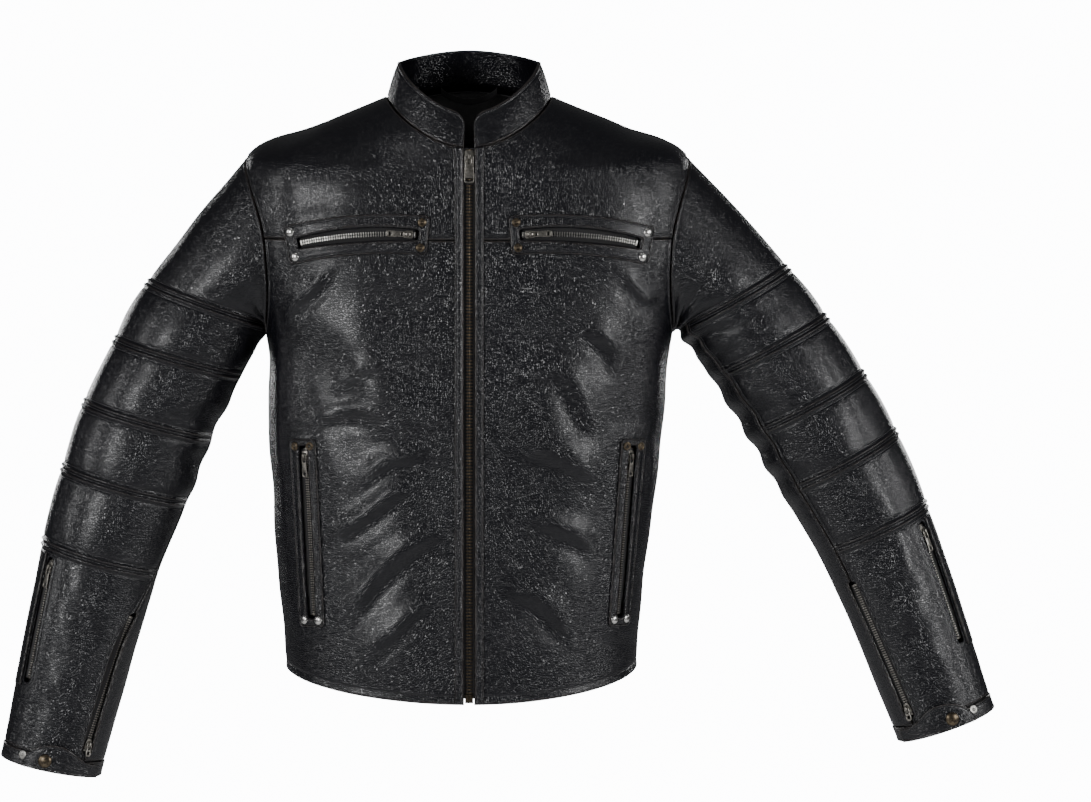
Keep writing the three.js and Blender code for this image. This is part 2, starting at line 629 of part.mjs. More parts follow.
// The chest zips run in from beside the armhole towards the front edge, on an arc that rises in its middle.
const CHEST_FROM_CENTRE = 121.32; // the zip's middle, from the centre line
const CHEST_SPAN = 0.96 * CHEST_ZIP; // the zip's width seen from the front
const CHEST_LEVEL = -158;
const CHEST_FALL = 9;
const CHEST_RISE = 4;
const CHEST_FRAME = [20.5, 15, 9]; // the frame's half width, its margin past the zip's ends, and its rows
function addChestPocket(name, side) {
  const spot = (x, z) => sunk(bodyAt, settle(bodyPoint, V(side * x, -110, z), [PIT + 1, (side * x) / 180]));
  const near = spot(CHEST_FROM_CENTRE - CHEST_SPAN / 2, CHEST_LEVEL);
  const high = spot(CHEST_FROM_CENTRE, CHEST_LEVEL - CHEST_FALL / 2 + CHEST_RISE);
  const far = spot(CHEST_FROM_CENTRE + CHEST_SPAN / 2, CHEST_LEVEL - CHEST_FALL);
  const path = arcPath(near.point, high.point, far.point, high.normal);
  const patch = patchOn(bodyPoint, bodyAt, path, [PIT + 1, side * 0.6], RECESS);
  return addPocket("chest_" + name, path, patch, ...CHEST_FRAME);
}

// The hand zips run down the sides of the front and lean in a little towards the hem.
const HAND_TOP = [168, -382];
const HAND_LEAN = 11;
const HAND_FRAME = [17, 12, 8];
function addHandPocket(name, side) {
  const place = (x, z) => settle(bodyPoint, V(side * x, -70, z), [2.4, side * 1.1]);
  const spot = (x, z) => sunk(bodyAt, place(x, z), ROUND_RECESS);
  const [top, foot] = [spot(...HAND_TOP), spot(HAND_TOP[0] - HAND_LEAN, HAND_TOP[1] - HAND_ZIP)];
  const path = straightPath(top.point, foot.point, top.normal.clone().add(foot.normal));
  const patch = patchOn(bodyPoint, bodyAt, path, [2, side * 1.1], ROUND_RECESS);
  return addPocket("hand_" + name, path, patch, ...HAND_FRAME);
}

// ---- body panels --------------------------------------------------------------------------------
const GAP = SEAM / 200; // half a seam, as a share of the way between two body rings
const steps = (from, to, count) => Array.from({ length: count + 1 }, (_, i) => lerp(from, to, i / count));

// The levels of a panel's rows: even ones below the armpit, then those of the corners round the armhole.
function levelsOf(low, high, toward) {
  const turns = steps(-90, 90, 180 / BAND_EVERY).map((t) => rad(toward > 0 ? t : 180 - t));
  const round = turns.map((turn) => armholeSpot(1, turn, ARMHOLE_SEAM)[0]);
  const all = [...steps(0, PIT, 8).slice(0, -1), ...round, ...steps(TIP, NECK, 5).slice(1)];
  const clear = (level) => level > low + 0.03 && level < high - 0.03;
  return [low, ...all.filter(clear), high];
}

// A panel between two levels, from one edge to the other. An edge gives the angle where it lies at a level.
function panel(low, high, from, to, columns, toward, spread = (j) => j) {
  const levels = levelsOf(low, high, toward);
  const spot = (i, j) => {
    const level = levels[Math.round(i * (levels.length - 1))];
    return bodyAt(level, lerp(from(level), to(level), spread(j)));
  };
  return sheet(spot, levels.length - 1, columns, 0, -LEATHER);
}

const sideEdge = (side, toward) => (level) => edgeAngle(level, side, toward, ARMHOLE_SEAM);
const frontEdge = (side, x) => (level) => angleAcross(level, side * x);

for (const side of [-1, 1]) {
  const name = side < 0 ? "right" : "left";
  const cuts = [...addChestPocket(name, side), ...addHandPocket(name, side)];
  const edges = [frontEdge(side, PLACKET_GAP), sideEdge(side, 1)];
  // The columns stand closer where the body turns to the side.
  const sideways = (j) => (j + Math.sin((j * Math.PI) / 2)) / 2;
  const front = panel(0, YOKE_LEVEL - GAP, ...edges, 8, 1, sideways);
  add("front_panel_" + name, cut(front, ...cuts), LEATHER_BLACK);
  const yoke = panel(YOKE_LEVEL + GAP, NECK - GAP, ...edges, 6, 1);
  add("front_yoke_" + name, cut(yoke, ...cuts), LEATHER_BLACK);
  const strip = (i, j) => {
    const level = lerp(0.02, NECK - 0.03, i);
    return bodyAt(level, angleAcross(level, side * (PLACKET_GAP + 0.5 + STRIP_WIDTH * j)));
  };
  add("placket_strip_" + name, sheet(strip, 12, 1, ...[...WELT].reverse()), LEATHER_BLACK);
}

const backEdges = [
  (level) => Math.PI * 2 + edgeAngle(level, -1, -1, ARMHOLE_SEAM),
  (level) => edgeAngle(level, 1, -1, ARMHOLE_SEAM),
];
add("back_panel", panel(0, BACK_YOKE_LEVEL - GAP, ...backEdges, 13, -1), LEATHER_BLACK);
add("back_yoke", panel(BACK_YOKE_LEVEL + GAP, NECK - GAP, ...backEdges, 13, -1), LEATHER_BLACK);

// ---- collar, loop and main zip ------------------------------------------------------------------
// The collar stands on the neck seam and leans in. Its front corners are round.
const collarFrom = angleAcross(NECK, PLACKET_GAP);
add("collar", sheet((i, j) => {
  const angle = lerp(collarFrom, 2 * Math.PI - collarFrom, 0.5 - 0.5 * Math.cos(Math.PI * j));
  const base = bodyPoint(NECK, angle);
  const out = V(base.x, base.y + 14, 0).normalize();
  const corners = [collarFrom, -collarFrom].map((corner) => bodyPoint(NECK, corner));
  const fromFront = Math.min(...corners.map((corner) => base.distanceTo(corner)));
  const bite = Math.max(0, COLLAR_CORNER - fromFront);
  const height = COLLAR_HEIGHT - COLLAR_CORNER + Math.sqrt(COLLAR_CORNER ** 2 - bite ** 2);
  const lean = rad(COLLAR_LEAN);
  const rise = V(0, 0, Math.cos(lean)).addScaledVector(out, -Math.sin(lean));
  const normal = out.clone().multiplyScalar(Math.cos(lean)).add(V(0, 0, Math.sin(lean)));
  return { point: base.addScaledVector(rise, 1.4 + height * i), normal };
}, 2, 30, 0, -COLLAR_WALL), LEATHER_BLACK);

// The hanger loop is a short tape sewn inside the back of the neck.
const loopBack = CHEST_REAR - 56 - LINING_DEPTH - LINING_WALL - 4;
add("hanger_loop", sheet((i, j) => {
  const x = lerp(-LOOP_HALF, LOOP_HALF, i);
  const drop = LOOP_DROP * Math.sin(Math.PI * i) ** 0.7;
  return { point: V(x, loopBack, -3 - drop - LOOP_TAPE * j), normal: V(0, -1, 0) };
}, 12, 1, 1.2, 0), TAPE_BLACK);

const edgeNormal = V(0, -1, 0);
const mainSpot = (level) => sunk(bodyAt, [level, 0]).point;
const main = straightPath(mainSpot(NECK - 0.08), mainSpot(0.16), edgeNormal);
const BOX_LENGTH = 9;
add("main_tape_right", zipHalf(main, HEAVY, -1, 0, main.length, 1), TAPE_BLACK);
add("main_tape_left", zipHalf(main, HEAVY, 1, 0, main.length, 1), TAPE_BLACK);
const [boxHalf, boxThick] = [SPLIT + HEAVY.tooth + 0.8, HEAVY.thick + 0.9];
const boxSection = oblong(-boxHalf, boxHalf, -boxThick, boxThick);
add("main_box", bar(main, main.length + CLEAR, main.length + CLEAR + BOX_LENGTH, boxSection, 1), GUNMETAL);
addSlider("main", main, HEAVY, 0);

// ---- sleeves ------------------------------------------------------------------------------------
// A zip sunk in a sleeve, between two stations at given turns, and what it needs.
const sleeveZip = (sleeve, parked, far) => {
  const [a, b] = [sunk(sleeve.at, parked, ROUND_RECESS), sunk(sleeve.at, far, ROUND_RECESS)];
  return straightPath(a.point, b.point, a.normal.clone().add(b.normal));
};

// The station a given distance up or down the sleeve, along a seam.
function stationAlong(sleeve, from, turnAt, distance) {
  const start = sleeve.point(from, turnAt(from));
  const way = Math.sign(distance);
  let station = from;
  const reached = () => sleeve.point(station, turnAt(station)).distanceTo(start);
  while (reached() < Math.abs(distance)) station += way * 0.005;
  return station;
}

function addSleeve(sleeve) {
  const { side, name, at, seam } = sleeve;
  const half = SEAM / 2 / 60;
  const run = (from, to) => (i, j) => {
    const station = lerp(0, CUFF_TOP - 0.01, i);
    return at(station, lerp(from(station) + half, to(station) - half, j));
  };
  const back = () => rad(BACK_SEAM);
  const round = (station) => seam(station) + 2 * Math.PI;
  const columns = (BACK_SEAM - FRONT_SEAM[side < 0 ? 0 : 1][0]) / BAND_EVERY;

  // The cuff zip lies in the front seam, and the vent runs down the outer side of the forearm.
  const parked = stationAlong(sleeve, CUFF_TOP, seam, -CUFF_ZIP_RAISE);
  const above = stationAlong(sleeve, parked, seam, -CUFF_ZIP);
  const cuffZip = sleeveZip(sleeve, [parked, seam(parked)], [above, seam(above)]);
  const ventTurn = () => rad(VENT_TURN);
  const ventFoot = stationAlong(sleeve, VENT_TOP, ventTurn, VENT_ZIP);
  const ventZip = sleeveZip(sleeve, [VENT_TOP, rad(VENT_TURN)], [ventFoot, rad(VENT_TURN)]);
  const mouths = [slotOver(cuffZip, 6), slotOver(ventZip, 6)];

  add("top_sleeve_" + name, cut(sheet(run(seam, back), 14, columns, 0, -LEATHER), ...mouths), LEATHER_BLACK);
  const under = sheet(run(back, round), 14, 24 - columns, 0, -LEATHER);
  add("under_sleeve_" + name, cut(under, mouths[0]), LEATHER_BLACK);
  add("cuff_zip_" + name, closedZip(cuffZip, SHORT, 1), TAPE_BLACK);
  addSlider("cuff_" + name, cuffZip, SHORT, CUFF_PULL_HANG);
  add("vent_zip_" + name, closedZip(ventZip, LIGHT, 1), TAPE_BLACK);
  addSlider("vent_" + name, ventZip, LIGHT, 0, slotEnd(ventZip));
  const ventPatch = patchOn(sleeve.point, at, ventZip, [6, rad(VENT_TURN)], ROUND_RECESS);
  const welt = (i, j) => {
    const across = SLOT + CLEAR + VENT_WELT * j;
    return ventPatch(side * across, lerp(-VENT_MARGIN, ventZip.length + VENT_MARGIN, i));
  };
  add("vent_welt_" + name, sheet(welt, 12, 2, WELT[1], WELT[0]), LEATHER_BLACK);

  // The cuff band runs round from one side of the cuff zip to the other. Two studs stand on it.
  const [root, stud, tip] = STRAP_TURNS.map((turn) => seam(LAST) + rad(turn));
  const spare = stud + rad(STUD_SPACING);
  const split = 3.4 / STATIONS[LAST - 1].half;
  const [bandFrom, bandTo] = [seam(LAST) + split, round(LAST) - split];
  const onBand = (i, j) => at(lerp(CUFF_TOP + 0.02, LAST, i), lerp(bandFrom, bandTo, j));
  const band = sheet(onBand, 1, 24, BAND_PROUD, -LEATHER);
  const snapStation = stationAlong(sleeve, LAST, seam, -SNAP_RISE);
  const studs = [stud, spare].map((turn) => turnedAt(at(snapStation, turn), STUD_PROFILE, 10));
  add("cuff_band_" + name, joined(band, ...studs), LEATHER_BLACK);

  // The strap is sewn beside the zip and crosses it to the snap. It hinges at the sewn end.
  const width = (u) => (u < SNAP_SHARE
    ? lerp(STRAP_ROOT, STRAP_WIDTH, THREE.MathUtils.smoothstep(u, 0.15, SNAP_SHARE))
    : STRAP_WIDTH * Math.sqrt(1 - (0.995 * (u - SNAP_SHARE) / (1 - SNAP_SHARE)) ** 2));
  const stationUp = (height) => stationAlong(sleeve, LAST, seam, -STRAP_RAISE - height);
  const onStrap = (i, j) => {
    const u = Math.sin((i * Math.PI) / 2);
    return at(stationUp(width(u) * j), lerp(root, tip, u));
  };
  const hole = turnedAt(at(snapStation, stud), [[0, -1], [2.1, -1], [2.1, 9], [0, 9]], 10);
  const strap = add("cuff_strap_" + name, cut(sheet(onStrap, 14, 2, ...STRAP_LIES), hole), LEATHER_BLACK);
  const snap = turnedAt(at(snapStation, stud), SNAP_PROFILE, 12);
  add("cuff_snap_" + name, snap, NICKEL);
  const [low, high] = [0, STRAP_ROOT].map((h) => at(stationUp(h), root));
  const origin = low.point.clone().addScaledVector(low.normal, (STRAP_LIES[0] + STRAP_LIES[1]) / 2);
  const axis = high.point.clone().sub(low.point).normalize().multiplyScalar(-side);
  strap.userData.joint = { type: "hinge", axis, origin, range: [0, rad(STRAP_SWING)] };
}

const SLEEVES = [sleeveOf(-1), sleeveOf(1)];
SLEEVES.forEach(addSleeve);

// ---- lining -------------------------------------------------------------------------------------
// One skin inside the body and both sleeves, open at the neck, the hem and the cuffs.
function liningSide(depth, spare) {
  const ring = (at, along, count) => steps(0, 2 * Math.PI, count).slice(0, -1).map((turn) => {
    const { point, normal } = at(along, turn);
    return point.addScaledVector(normal, -depth);
  });
  const moved = (points, x, z) => points.map((p) => p.clone().add(V(x, 0, z)));
  const bodyRings = steps(0.08, NECK - 0.06, 10).map((level) => ring(bodyAt, level, 20));
  if (spare) {
    bodyRings.unshift(moved(bodyRings[0], 0, -spare));
    bodyRings.push(moved(bodyRings.at(-1), 0, spare));
  }
  const shapes = SLEEVES.map(({ side, at, centres }) => {
    const underArm = (station, turn) => {
      const { point, normal } = at(station, turn);
      return { point: point.addScaledVector(normal, -ARMHOLE_INSET * Math.max(0, 2 - station)), normal };
    };
    const rings = steps(0.8, CUFF_TOP, 8).map((station) => ring(underArm, station, 12));
    const run = centres.at(-1).clone().sub(centres.at(-2)).normalize();
    if (spare) rings.push(rings.at(-1).map((p) => p.clone().addScaledVector(run, spare)));
    const mouth = steps(0, 2 * Math.PI, 12).slice(0, -1).map((turn) => {
      const edge = bodyPoint(...armholeSpot(side, turn));
      const inward = V(0, centres[0].y - edge.y, centres[0].z - edge.z).normalize();
      return edge.addScaledVector(inward, depth + ARMHOLE_INSET);
    });
    return loft([moved(mouth, -side * ARMHOLE_DEPTH, 0), mouth, ...rings]);
  });
  return joined(loft(bodyRings), ...shapes);
}
add("lining", cut(liningSide(LINING_DEPTH, 0), liningSide(LINING_DEPTH + LINING_WALL, 30)), LINING_BLACK);

export default jacket;
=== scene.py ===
import math

import bmesh
import bpy
import numpy as np
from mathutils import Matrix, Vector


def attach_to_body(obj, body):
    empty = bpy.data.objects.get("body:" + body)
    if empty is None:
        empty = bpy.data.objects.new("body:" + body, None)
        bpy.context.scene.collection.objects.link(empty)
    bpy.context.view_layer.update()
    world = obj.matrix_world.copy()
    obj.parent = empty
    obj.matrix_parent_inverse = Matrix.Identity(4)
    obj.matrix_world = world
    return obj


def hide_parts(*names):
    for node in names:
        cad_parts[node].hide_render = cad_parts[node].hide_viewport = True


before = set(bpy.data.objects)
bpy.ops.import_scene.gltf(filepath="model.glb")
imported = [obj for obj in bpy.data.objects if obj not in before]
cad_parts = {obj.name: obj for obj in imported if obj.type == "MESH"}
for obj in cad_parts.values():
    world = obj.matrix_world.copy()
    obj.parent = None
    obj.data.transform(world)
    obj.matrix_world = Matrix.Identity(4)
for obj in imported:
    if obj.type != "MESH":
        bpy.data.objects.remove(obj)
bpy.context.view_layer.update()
MM = 0.001
TAU = 2 * math.pi

# ---- the camera and the studio ------------------------------------------------------------------
# The jacket hangs at eye level before a camera a little over three metres away, over a round pale floor.
# Tall soft lamps stand in front, at the sides and behind, and a weak one hangs above the collar.
AIM = (0, 0, -0.336)
DISTANCE = 3.2
PITCH = math.radians(4)
LENS, SENSOR, SIDE_SHIFT = 99.6, 36, 0.070
LAMPS = {
    # place, what it shines at, width and height, and watts
    "key": ((-1.55, -2.1, 0.05), (0, 0, -0.35), (0.4, 0.8), 31),
    "fill": ((1.9, -1.7, 0.05), (0, 0, -0.35), (0.35, 0.8), 25),
    "overhead": ((-0.1, -0.7, 1.5), (0, 0.1, -0.3), (1.3, 0.6), 2.5),
    "left_side": ((-2.4, -0.9, 0.2), (0, 0, -0.35), (0.4, 1.3), 12),
    "right_side": ((2.4, -0.8, 0.2), (0, 0, -0.35), (0.4, 1.3), 15),
    "rear_left": ((-1.7, 2.6, 0), (0, 0, -0.35), (0.6, 1.0), 12),
    "rear_right": ((1.7, 2.6, 0), (0, 0, -0.35), (0.6, 1.0), 12),
}

camera = bpy.data.objects.new("camera", bpy.data.cameras.new("camera"))
camera.data.sensor_width = SENSOR
camera.data.lens = LENS
camera.data.shift_x = SIDE_SHIFT
camera.location = (0, AIM[1] - DISTANCE * math.cos(PITCH), AIM[2] + DISTANCE * math.sin(PITCH))
camera.rotation_euler = (math.pi / 2 - PITCH, 0, 0)
bpy.context.collection.objects.link(camera)
bpy.context.scene.camera = camera

for name, (place, towards, size, power) in LAMPS.items():
    lamp = bpy.data.lights.new(name, "AREA")
    lamp.shape = "ELLIPSE"
    lamp.size, lamp.size_y = size
    lamp.energy = power
    stand = bpy.data.objects.new(name, lamp)
    stand.location = place
    stand.rotation_euler = Vector(np.subtract(towards, place)).to_track_quat("-Z", "Y").to_euler()
    bpy.context.collection.objects.link(stand)


def mesh_object(name, points, faces, material, smooth=True):
    """A mesh from points in millimetres, at the origin."""
    mesh = bpy.data.meshes.new(name)
    mesh.from_pydata(np.asarray(points, float) * MM, [], [list(map(int, f)) for f in faces])
    mesh.materials.append(material)
    mesh.polygons.foreach_set("use_smooth", [smooth] * len(mesh.polygons))
    mesh.update()
    piece = bpy.data.objects.new(name, mesh)
    bpy.context.collection.objects.link(piece)
    return piece


# Shader maths: a Wire is a socket on which arithmetic adds Math nodes.
def attach(tree, values, node):
    for key, value in values.items():
        socket = node.inputs[key]
        if isinstance(value, Wire):
            tree.links.new(value.socket, socket)
        else:
            socket.default_value = value


class Wire:
    def __init__(self, tree, socket):
        self.tree = tree
        self.socket = socket

    def math(self, operation, *values):
        return node(self.tree, "ShaderNodeMath", {"operation": operation}, dict(enumerate(values)))

    def __add__(self, other):
        return self.math("ADD", self, other)

    __radd__ = __add__

    def __sub__(self, other):
        return self.math("SUBTRACT", self, other)

    def __rsub__(self, other):
        return self.math("SUBTRACT", other, self)

    def __mul__(self, other):
        return self.math("MULTIPLY", self, other)

    __rmul__ = __mul__

    def __pow__(self, other):
        return self.math("POWER", self, other)


def node(tree, kind, settings, values, out=0):
    """One output of a new node that is given its settings, then its sockets' values or wires."""
    made = tree.nodes.new(kind)
    stops = settings.pop("stops", None)
    for key, value in settings.items():
        setattr(made, key, value)
    if stops:
        ramp = made.color_ramp
        while len(ramp.elements) < len(stops):
            ramp.elements.new(0.5)
        for element, (place, shade) in zip(ramp.elements, stops):
            element.position = place
            element.color = (*shade, 1) if isinstance(shade, tuple) else (shade, shade, shade, 1)
    attach(tree, values, made)
    return Wire(tree, made.outputs[out])


def new_material(name, values, **fixed):
    """A material whose sockets are numbers, or wires made by a function of its tree."""
    material = bpy.data.materials.new(name)
    material.use_nodes = True
    tree = material.node_tree
    bsdf = tree.nodes["Principled BSDF"]
    attach(tree, fixed, bsdf)
    attach(tree, values(tree), bsdf)
    return material


def placed_on(tree):
    return node(tree, "ShaderNodeTexCoord", {}, {}, "Object")


def noise(tree, scale, detail=2, roughness=0.5):
    values = {"Vector": placed_on(tree), "Scale": scale, "Detail": detail, "Roughness": roughness}
    return node(tree, "ShaderNodeTexNoise", {}, values)


def ramp(tree, factor, *stops):
    return node(tree, "ShaderNodeValToRGB", {"stops": list(stops)}, {"Fac": factor})


def mixed(tree, factor, first, second):
    values = {"Factor": factor, 6: first, 7: second}
    return node(tree, "ShaderNodeMix", {"data_type": "RGBA"}, values, 2)


def bump(tree, height, strength, distance, normal=None):
    values = {"Height": height, "Strength": strength, "Distance": distance}
    if normal:
        values["Normal"] = normal
    return node(tree, "ShaderNodeBump", {}, values)


# White paper hangs all round, out of the lamps' reach: it shows as white and lights the leather dimly.
STUDIO_DIM, STUDIO_WHITE = 0.085, 14
STUDIO_TINT = (0.97, 0.98, 1, 1)
world = bpy.data.worlds.new("studio")
world.use_nodes = True
looked_at = node(world.node_tree, "ShaderNodeLightPath", {}, {}, "Is Camera Ray")
brightness = STUDIO_DIM + looked_at * (STUDIO_WHITE - STUDIO_DIM)
attach(world.node_tree, {"Color": STUDIO_TINT, "Strength": brightness}, world.node_tree.nodes["Background"])
bpy.context.scene.world = world


def floor_paint(tree):
    return {"Base Color": mixed(tree, noise(tree, 3), (0.90, 0.90, 0.91, 1), (0.93, 0.93, 0.93, 1))}


paper = new_material("pale_paper", floor_paint, Roughness=0.9)
FLOOR_LEVEL, FLOOR_RADIUS, FLOOR_EDGE, FLOOR_SIDES = -1250, 2100, 40, 128
rim = [(math.cos(t), math.sin(t)) for t in np.linspace(0, TAU, FLOOR_SIDES, endpoint=False)]
floor_rings = ((0, 0), (0.7 * FLOOR_EDGE, -0.3 * FLOOR_EDGE), (FLOOR_EDGE, -FLOOR_EDGE))
floor_points = [((FLOOR_RADIUS + out) * x, (FLOOR_RADIUS + out) * y, FLOOR_LEVEL + up)
                for out, up in floor_rings for x, y in rim]
floor_faces = [tuple(range(FLOOR_SIDES))]
for k in range(len(floor_rings) - 1):
    a, b = k * FLOOR_SIDES, (k + 1) * FLOOR_SIDES
    sides = [(i, (i + 1) % FLOOR_SIDES) for i in range(FLOOR_SIDES)]
    floor_faces += [(a + i, b + i, b + j, a + j) for i, j in sides]
mesh_object("floor", floor_points, floor_faces, paper)

# ---- the leather ----------------------------------------------------------------------------------
# Black cowhide, two millimetres thick with its turned edges, dyed through and finished to a satin.
# A fine pebble grain covers it. Edges, lips and ridges are rubbed a little smoother, and their browner tint
# is partly wear and partly a painted highlight along them.
LEATHER_COLOUR = (0.0032, 0.0033, 0.0052, 1)
# The second colour is the brown of rubbed edges and crests: partly wear, partly a painted highlight there.
LEATHER_WEAR_AND_HIGHLIGHT = (0.030, 0.024, 0.020, 1)
LEATHER_SHEEN, COAT_ROUGHNESS = 0.42, 0.3
PEBBLES, PORES, CREASES, PATCHES, RUBS = 500, 2400, 85, 14, 160


def leather_finish(tree):
    wear = node(tree, "ShaderNodeAttribute", {"attribute_name": "wear"}, {}, "Fac")
    cells = node(tree, "ShaderNodeTexVoronoi", {"feature": "DISTANCE_TO_EDGE"},
                 {"Vector": placed_on(tree), "Scale": PEBBLES, "Randomness": 0.95})
    pebbles = ramp(tree, cells, (0.0, 0.0), (0.22, 0.85), (0.5, 1.0))
    fine = noise(tree, PORES, 2)
    patchy = noise(tree, PATCHES, 3)
    # The rubbed mask lightens the base colour towards brown: partly wear, partly a painted highlight on
    # turned edges, lips and ridge crests.
    rubbed = wear * ramp(tree, noise(tree, RUBS, 3), (0.35, 0.25), (0.65, 1.0))
    grain = bump(tree, pebbles + fine * 0.25, 0.55, 0.0004)
    hide = bump(tree, noise(tree, CREASES, 3), 0.28, 0.0018, grain)
    return {
        "Base Color": mixed(tree, rubbed * 0.8, LEATHER_COLOUR, LEATHER_WEAR_AND_HIGHLIGHT),
        "Roughness": 0.29 - patchy * 0.12 - rubbed * 0.06 - pebbles * 0.03,
        "Coat Weight": 0.10 + rubbed * 0.12,
        "Normal": hide,
    }


leather_sockets = {"Specular IOR Level": LEATHER_SHEEN, "Coat Roughness": COAT_ROUGHNESS}
leather = new_material("black_leather", leather_finish, **leather_sockets)

# ---- the body's shape ------------------------------------------------------------------------------
# The jacket hangs on a display form. Rings round it run from the hem up to the neck seam: front, side and
# back are levels, half is the half width, and shift is how far it hangs to the wearer's right. Middle and
# rear are depths, and square is how square the ring is.
RINGS = {
    "front": (-641, -570, -484, -375, -268, -172, -112, -88, -70),
    "side": (-618, -560, -478, -372, -268, -172, -78, -46, -15),
    "back": (-626, -562, -478, -370, -268, -165, -62, -24, 0),
    "half": (185, 189.5, 198, 208, 214, 230, 232, 161, 86),
    "shift": (8, 9, 7, 4, 0, 1, 2, 1, 0),
    "middle": (0, 0, 1, 4, 8, 8, 8, 0, -14),
    "rear": (106, 107, 104, 112, 122, 124, 108, 88, 66),
    "square": (2.4, 2.4, 2.4, 2.5, 2.7, 3, 2.6, 2.4, 2.4),
}
PIT, TIP, NECK = 4, 6, 8
YOKE, BACK_YOKE = 5.1, 5.3
FRONT_EDGE = -96
FRONT_LEAN = 25 / 571
ARMHOLE = {"y": 8, "z": -173, "half": 66, "rise": 95}
SEAM = 0.6
ARMHOLE_SEAM = 0.5
PLACKET_GAP = 5.2


def through(values, t):
    """A smooth run through values given at 0, 1, 2 and so on. values[k] may be an array as wide as t."""
    values = np.asarray(values, float)
    t = np.asarray(t, float)
    last = len(values) - 1
    i = np.clip(np.floor(t).astype(int), 0, last - 1)
    f = t - i

    def at(k):
        k = np.clip(k, 0, last)
        if values.ndim == 1:
            return values[k]
        return np.take_along_axis(values, np.broadcast_to(k, values.shape[1:])[None], 0)[0]

    b, c = at(i), at(i + 1)
    a = np.where(i > 0, at(i - 1), 2 * b - c)
    d = np.where(i + 2 <= last, at(i + 2), 2 * c - b)
    h = f * f * (3 - 2 * f)
    return b * (1 - h) + c * h + (c - a) / 2 * f * (1 - f) ** 2 - (d - b) / 2 * f * f * (1 - f)


def form_point(level, angle):
    """The body's surface. The angle is 0 at the front and a quarter turn at the wearer's left."""
    level, angle = np.broadcast_arrays(np.asarray(level, float), np.asarray(angle, float))
    ring = {key: through(values, level) for key, values in RINGS.items()}
    s, c = np.sin(angle), np.cos(angle)
    reach = (np.abs(s) ** ring["square"] + np.abs(c) ** ring["square"]) ** (-1 / ring["square"])
    half = ring["half"] + np.where(s < 0, ring["shift"], -ring["shift"])
    forward = ring["middle"] - (FRONT_EDGE + (ring["front"] + 70) * FRONT_LEAN)
    depth = np.where(c > 0, forward, ring["rear"] - ring["middle"])
    end = np.where(c > 0, ring["front"], ring["back"])
    z = ring["side"] + (end - ring["side"]) * c * c
    return np.stack([half * reach * s, ring["middle"] - depth * reach * c, z], -1)


def settle(surface, points, a, b):
    """The places on a surface nearest some points, from a first guess."""
    step = 1e-3
    a, b = np.array(a, float), np.array(b, float)
    for _ in range(12):
        here = surface(a, b)
        da = (surface(a + step, b) - here) / step
        db = (surface(a, b + step) - here) / step
        off = points - here
        aa, ab, bb = (da * da).sum(-1), (da * db).sum(-1), (db * db).sum(-1)
        ra, rb = (off * da).sum(-1), (off * db).sum(-1)
        det = aa * bb - ab * ab
        a = a + (ra * bb - rb * ab) / det
        b = b + (rb * aa - ra * ab) / det
    return a, b


def angle_across(level, x):
    """The angle at which the body's front lies a given distance from the centre line."""
    angle = np.zeros(np.shape(level))
    for _ in range(12):
        angle = angle + (x - form_point(level, angle)[..., 0]) / 200
    return angle


def armhole_reach(points, margin=0.0):
    """How far out points lie from the armhole's middle, where its edge is at 1."""
    across = (points[..., 1] - ARMHOLE["y"]) / (ARMHOLE["half"] + margin)
    upward = (points[..., 2] - ARMHOLE["z"]) / (ARMHOLE["rise"] + margin)
    return np.hypot(across, upward)


def side_edge(level, side, toward, margin=ARMHOLE_SEAM):
    """The angle where a panel ends: by the armhole, or at the side or shoulder seam. toward is 1 in front."""
    level = np.asarray(level, float)
    seam = math.pi / 2 - toward * (SEAM / 2 / through(RINGS["rear"], level))
    inside = np.full(level.shape, math.pi / 2)
    outside = inside - toward * math.radians(75)
    for _ in range(30):
        middle = (inside + outside) / 2
        hit = armhole_reach(form_point(level, side * middle), margin) < 1
        inside = np.where(hit, middle, inside)
        outside = np.where(hit, outside, middle)
    pierced = armhole_reach(form_point(level, side * np.full(level.shape, math.pi / 2)), margin) < 1
    return side * np.where(pierced, outside, seam)


def armhole_spot(side, turn, margin=0.0):
    """The place at a turn round the armhole's edge, as a level and an angle of the body."""
    turn = np.asarray(turn, float)
    y = ARMHOLE["y"] - (ARMHOLE["half"] + margin) * np.cos(turn)
    z = ARMHOLE["z"] + (ARMHOLE["rise"] + margin) * np.sin(turn)
    level = PIT + 1 + np.sin(turn)
    angle = side * (math.pi / 2 - 0.4 * np.cos(turn))

    def flat(a, b):
        point = form_point(a, b)
        point[..., 0] = a * 1e-3
        return point

    return settle(flat, np.stack([level * 1e-3, y, z], -1), level, angle)


# ---- the sleeves' shape ----------------------------------------------------------------------------
# Stations run down each sleeve from 0 at the armhole. Each has the run from the one before, the run's lean
# for each arm, how far the ring is turned from square to the run, its half width and depth, and its place
# along Y. The seams are turns round the sleeve at each station, in degrees.
RUNS = (80, 65, 74, 72, 80, 70, 70, 67, 17)
LEANS = ((41, 30, 26, 20, 18, 14, 13, 13, 13), (45, 38, 33, 29, 27, 22, 20, 20, 20))
TWISTS = ((-16, -12, -7, -3, 0, 0, -1, -1, -1), (-12, -8, -3, 0, 0, 0, 0, 0, 0))
HALVES = (68, 69, 70, 68.5, 63, 60, 56.5, 53.5, 53)
DEPTHS = (60, 60, 59, 57, 53, 49, 44, 40, 39.5)
FORWARD = (6, 3, 0, -5, -13, -22, -31, -39, -41)
REACH = (1, 0.975)
FRONT_SEAM = (
    (-75, -80, -84, -86, -84, -74, -50, -44, -42, -42),
    (-60, -57, -54, -50, -49, -48, -46, -43, -41, -41),
)
BACK_SEAM = math.radians(210)
CUFF_TOP, CUFF_END = 8, 9
SIDES = {"right": -1, "left": 1}


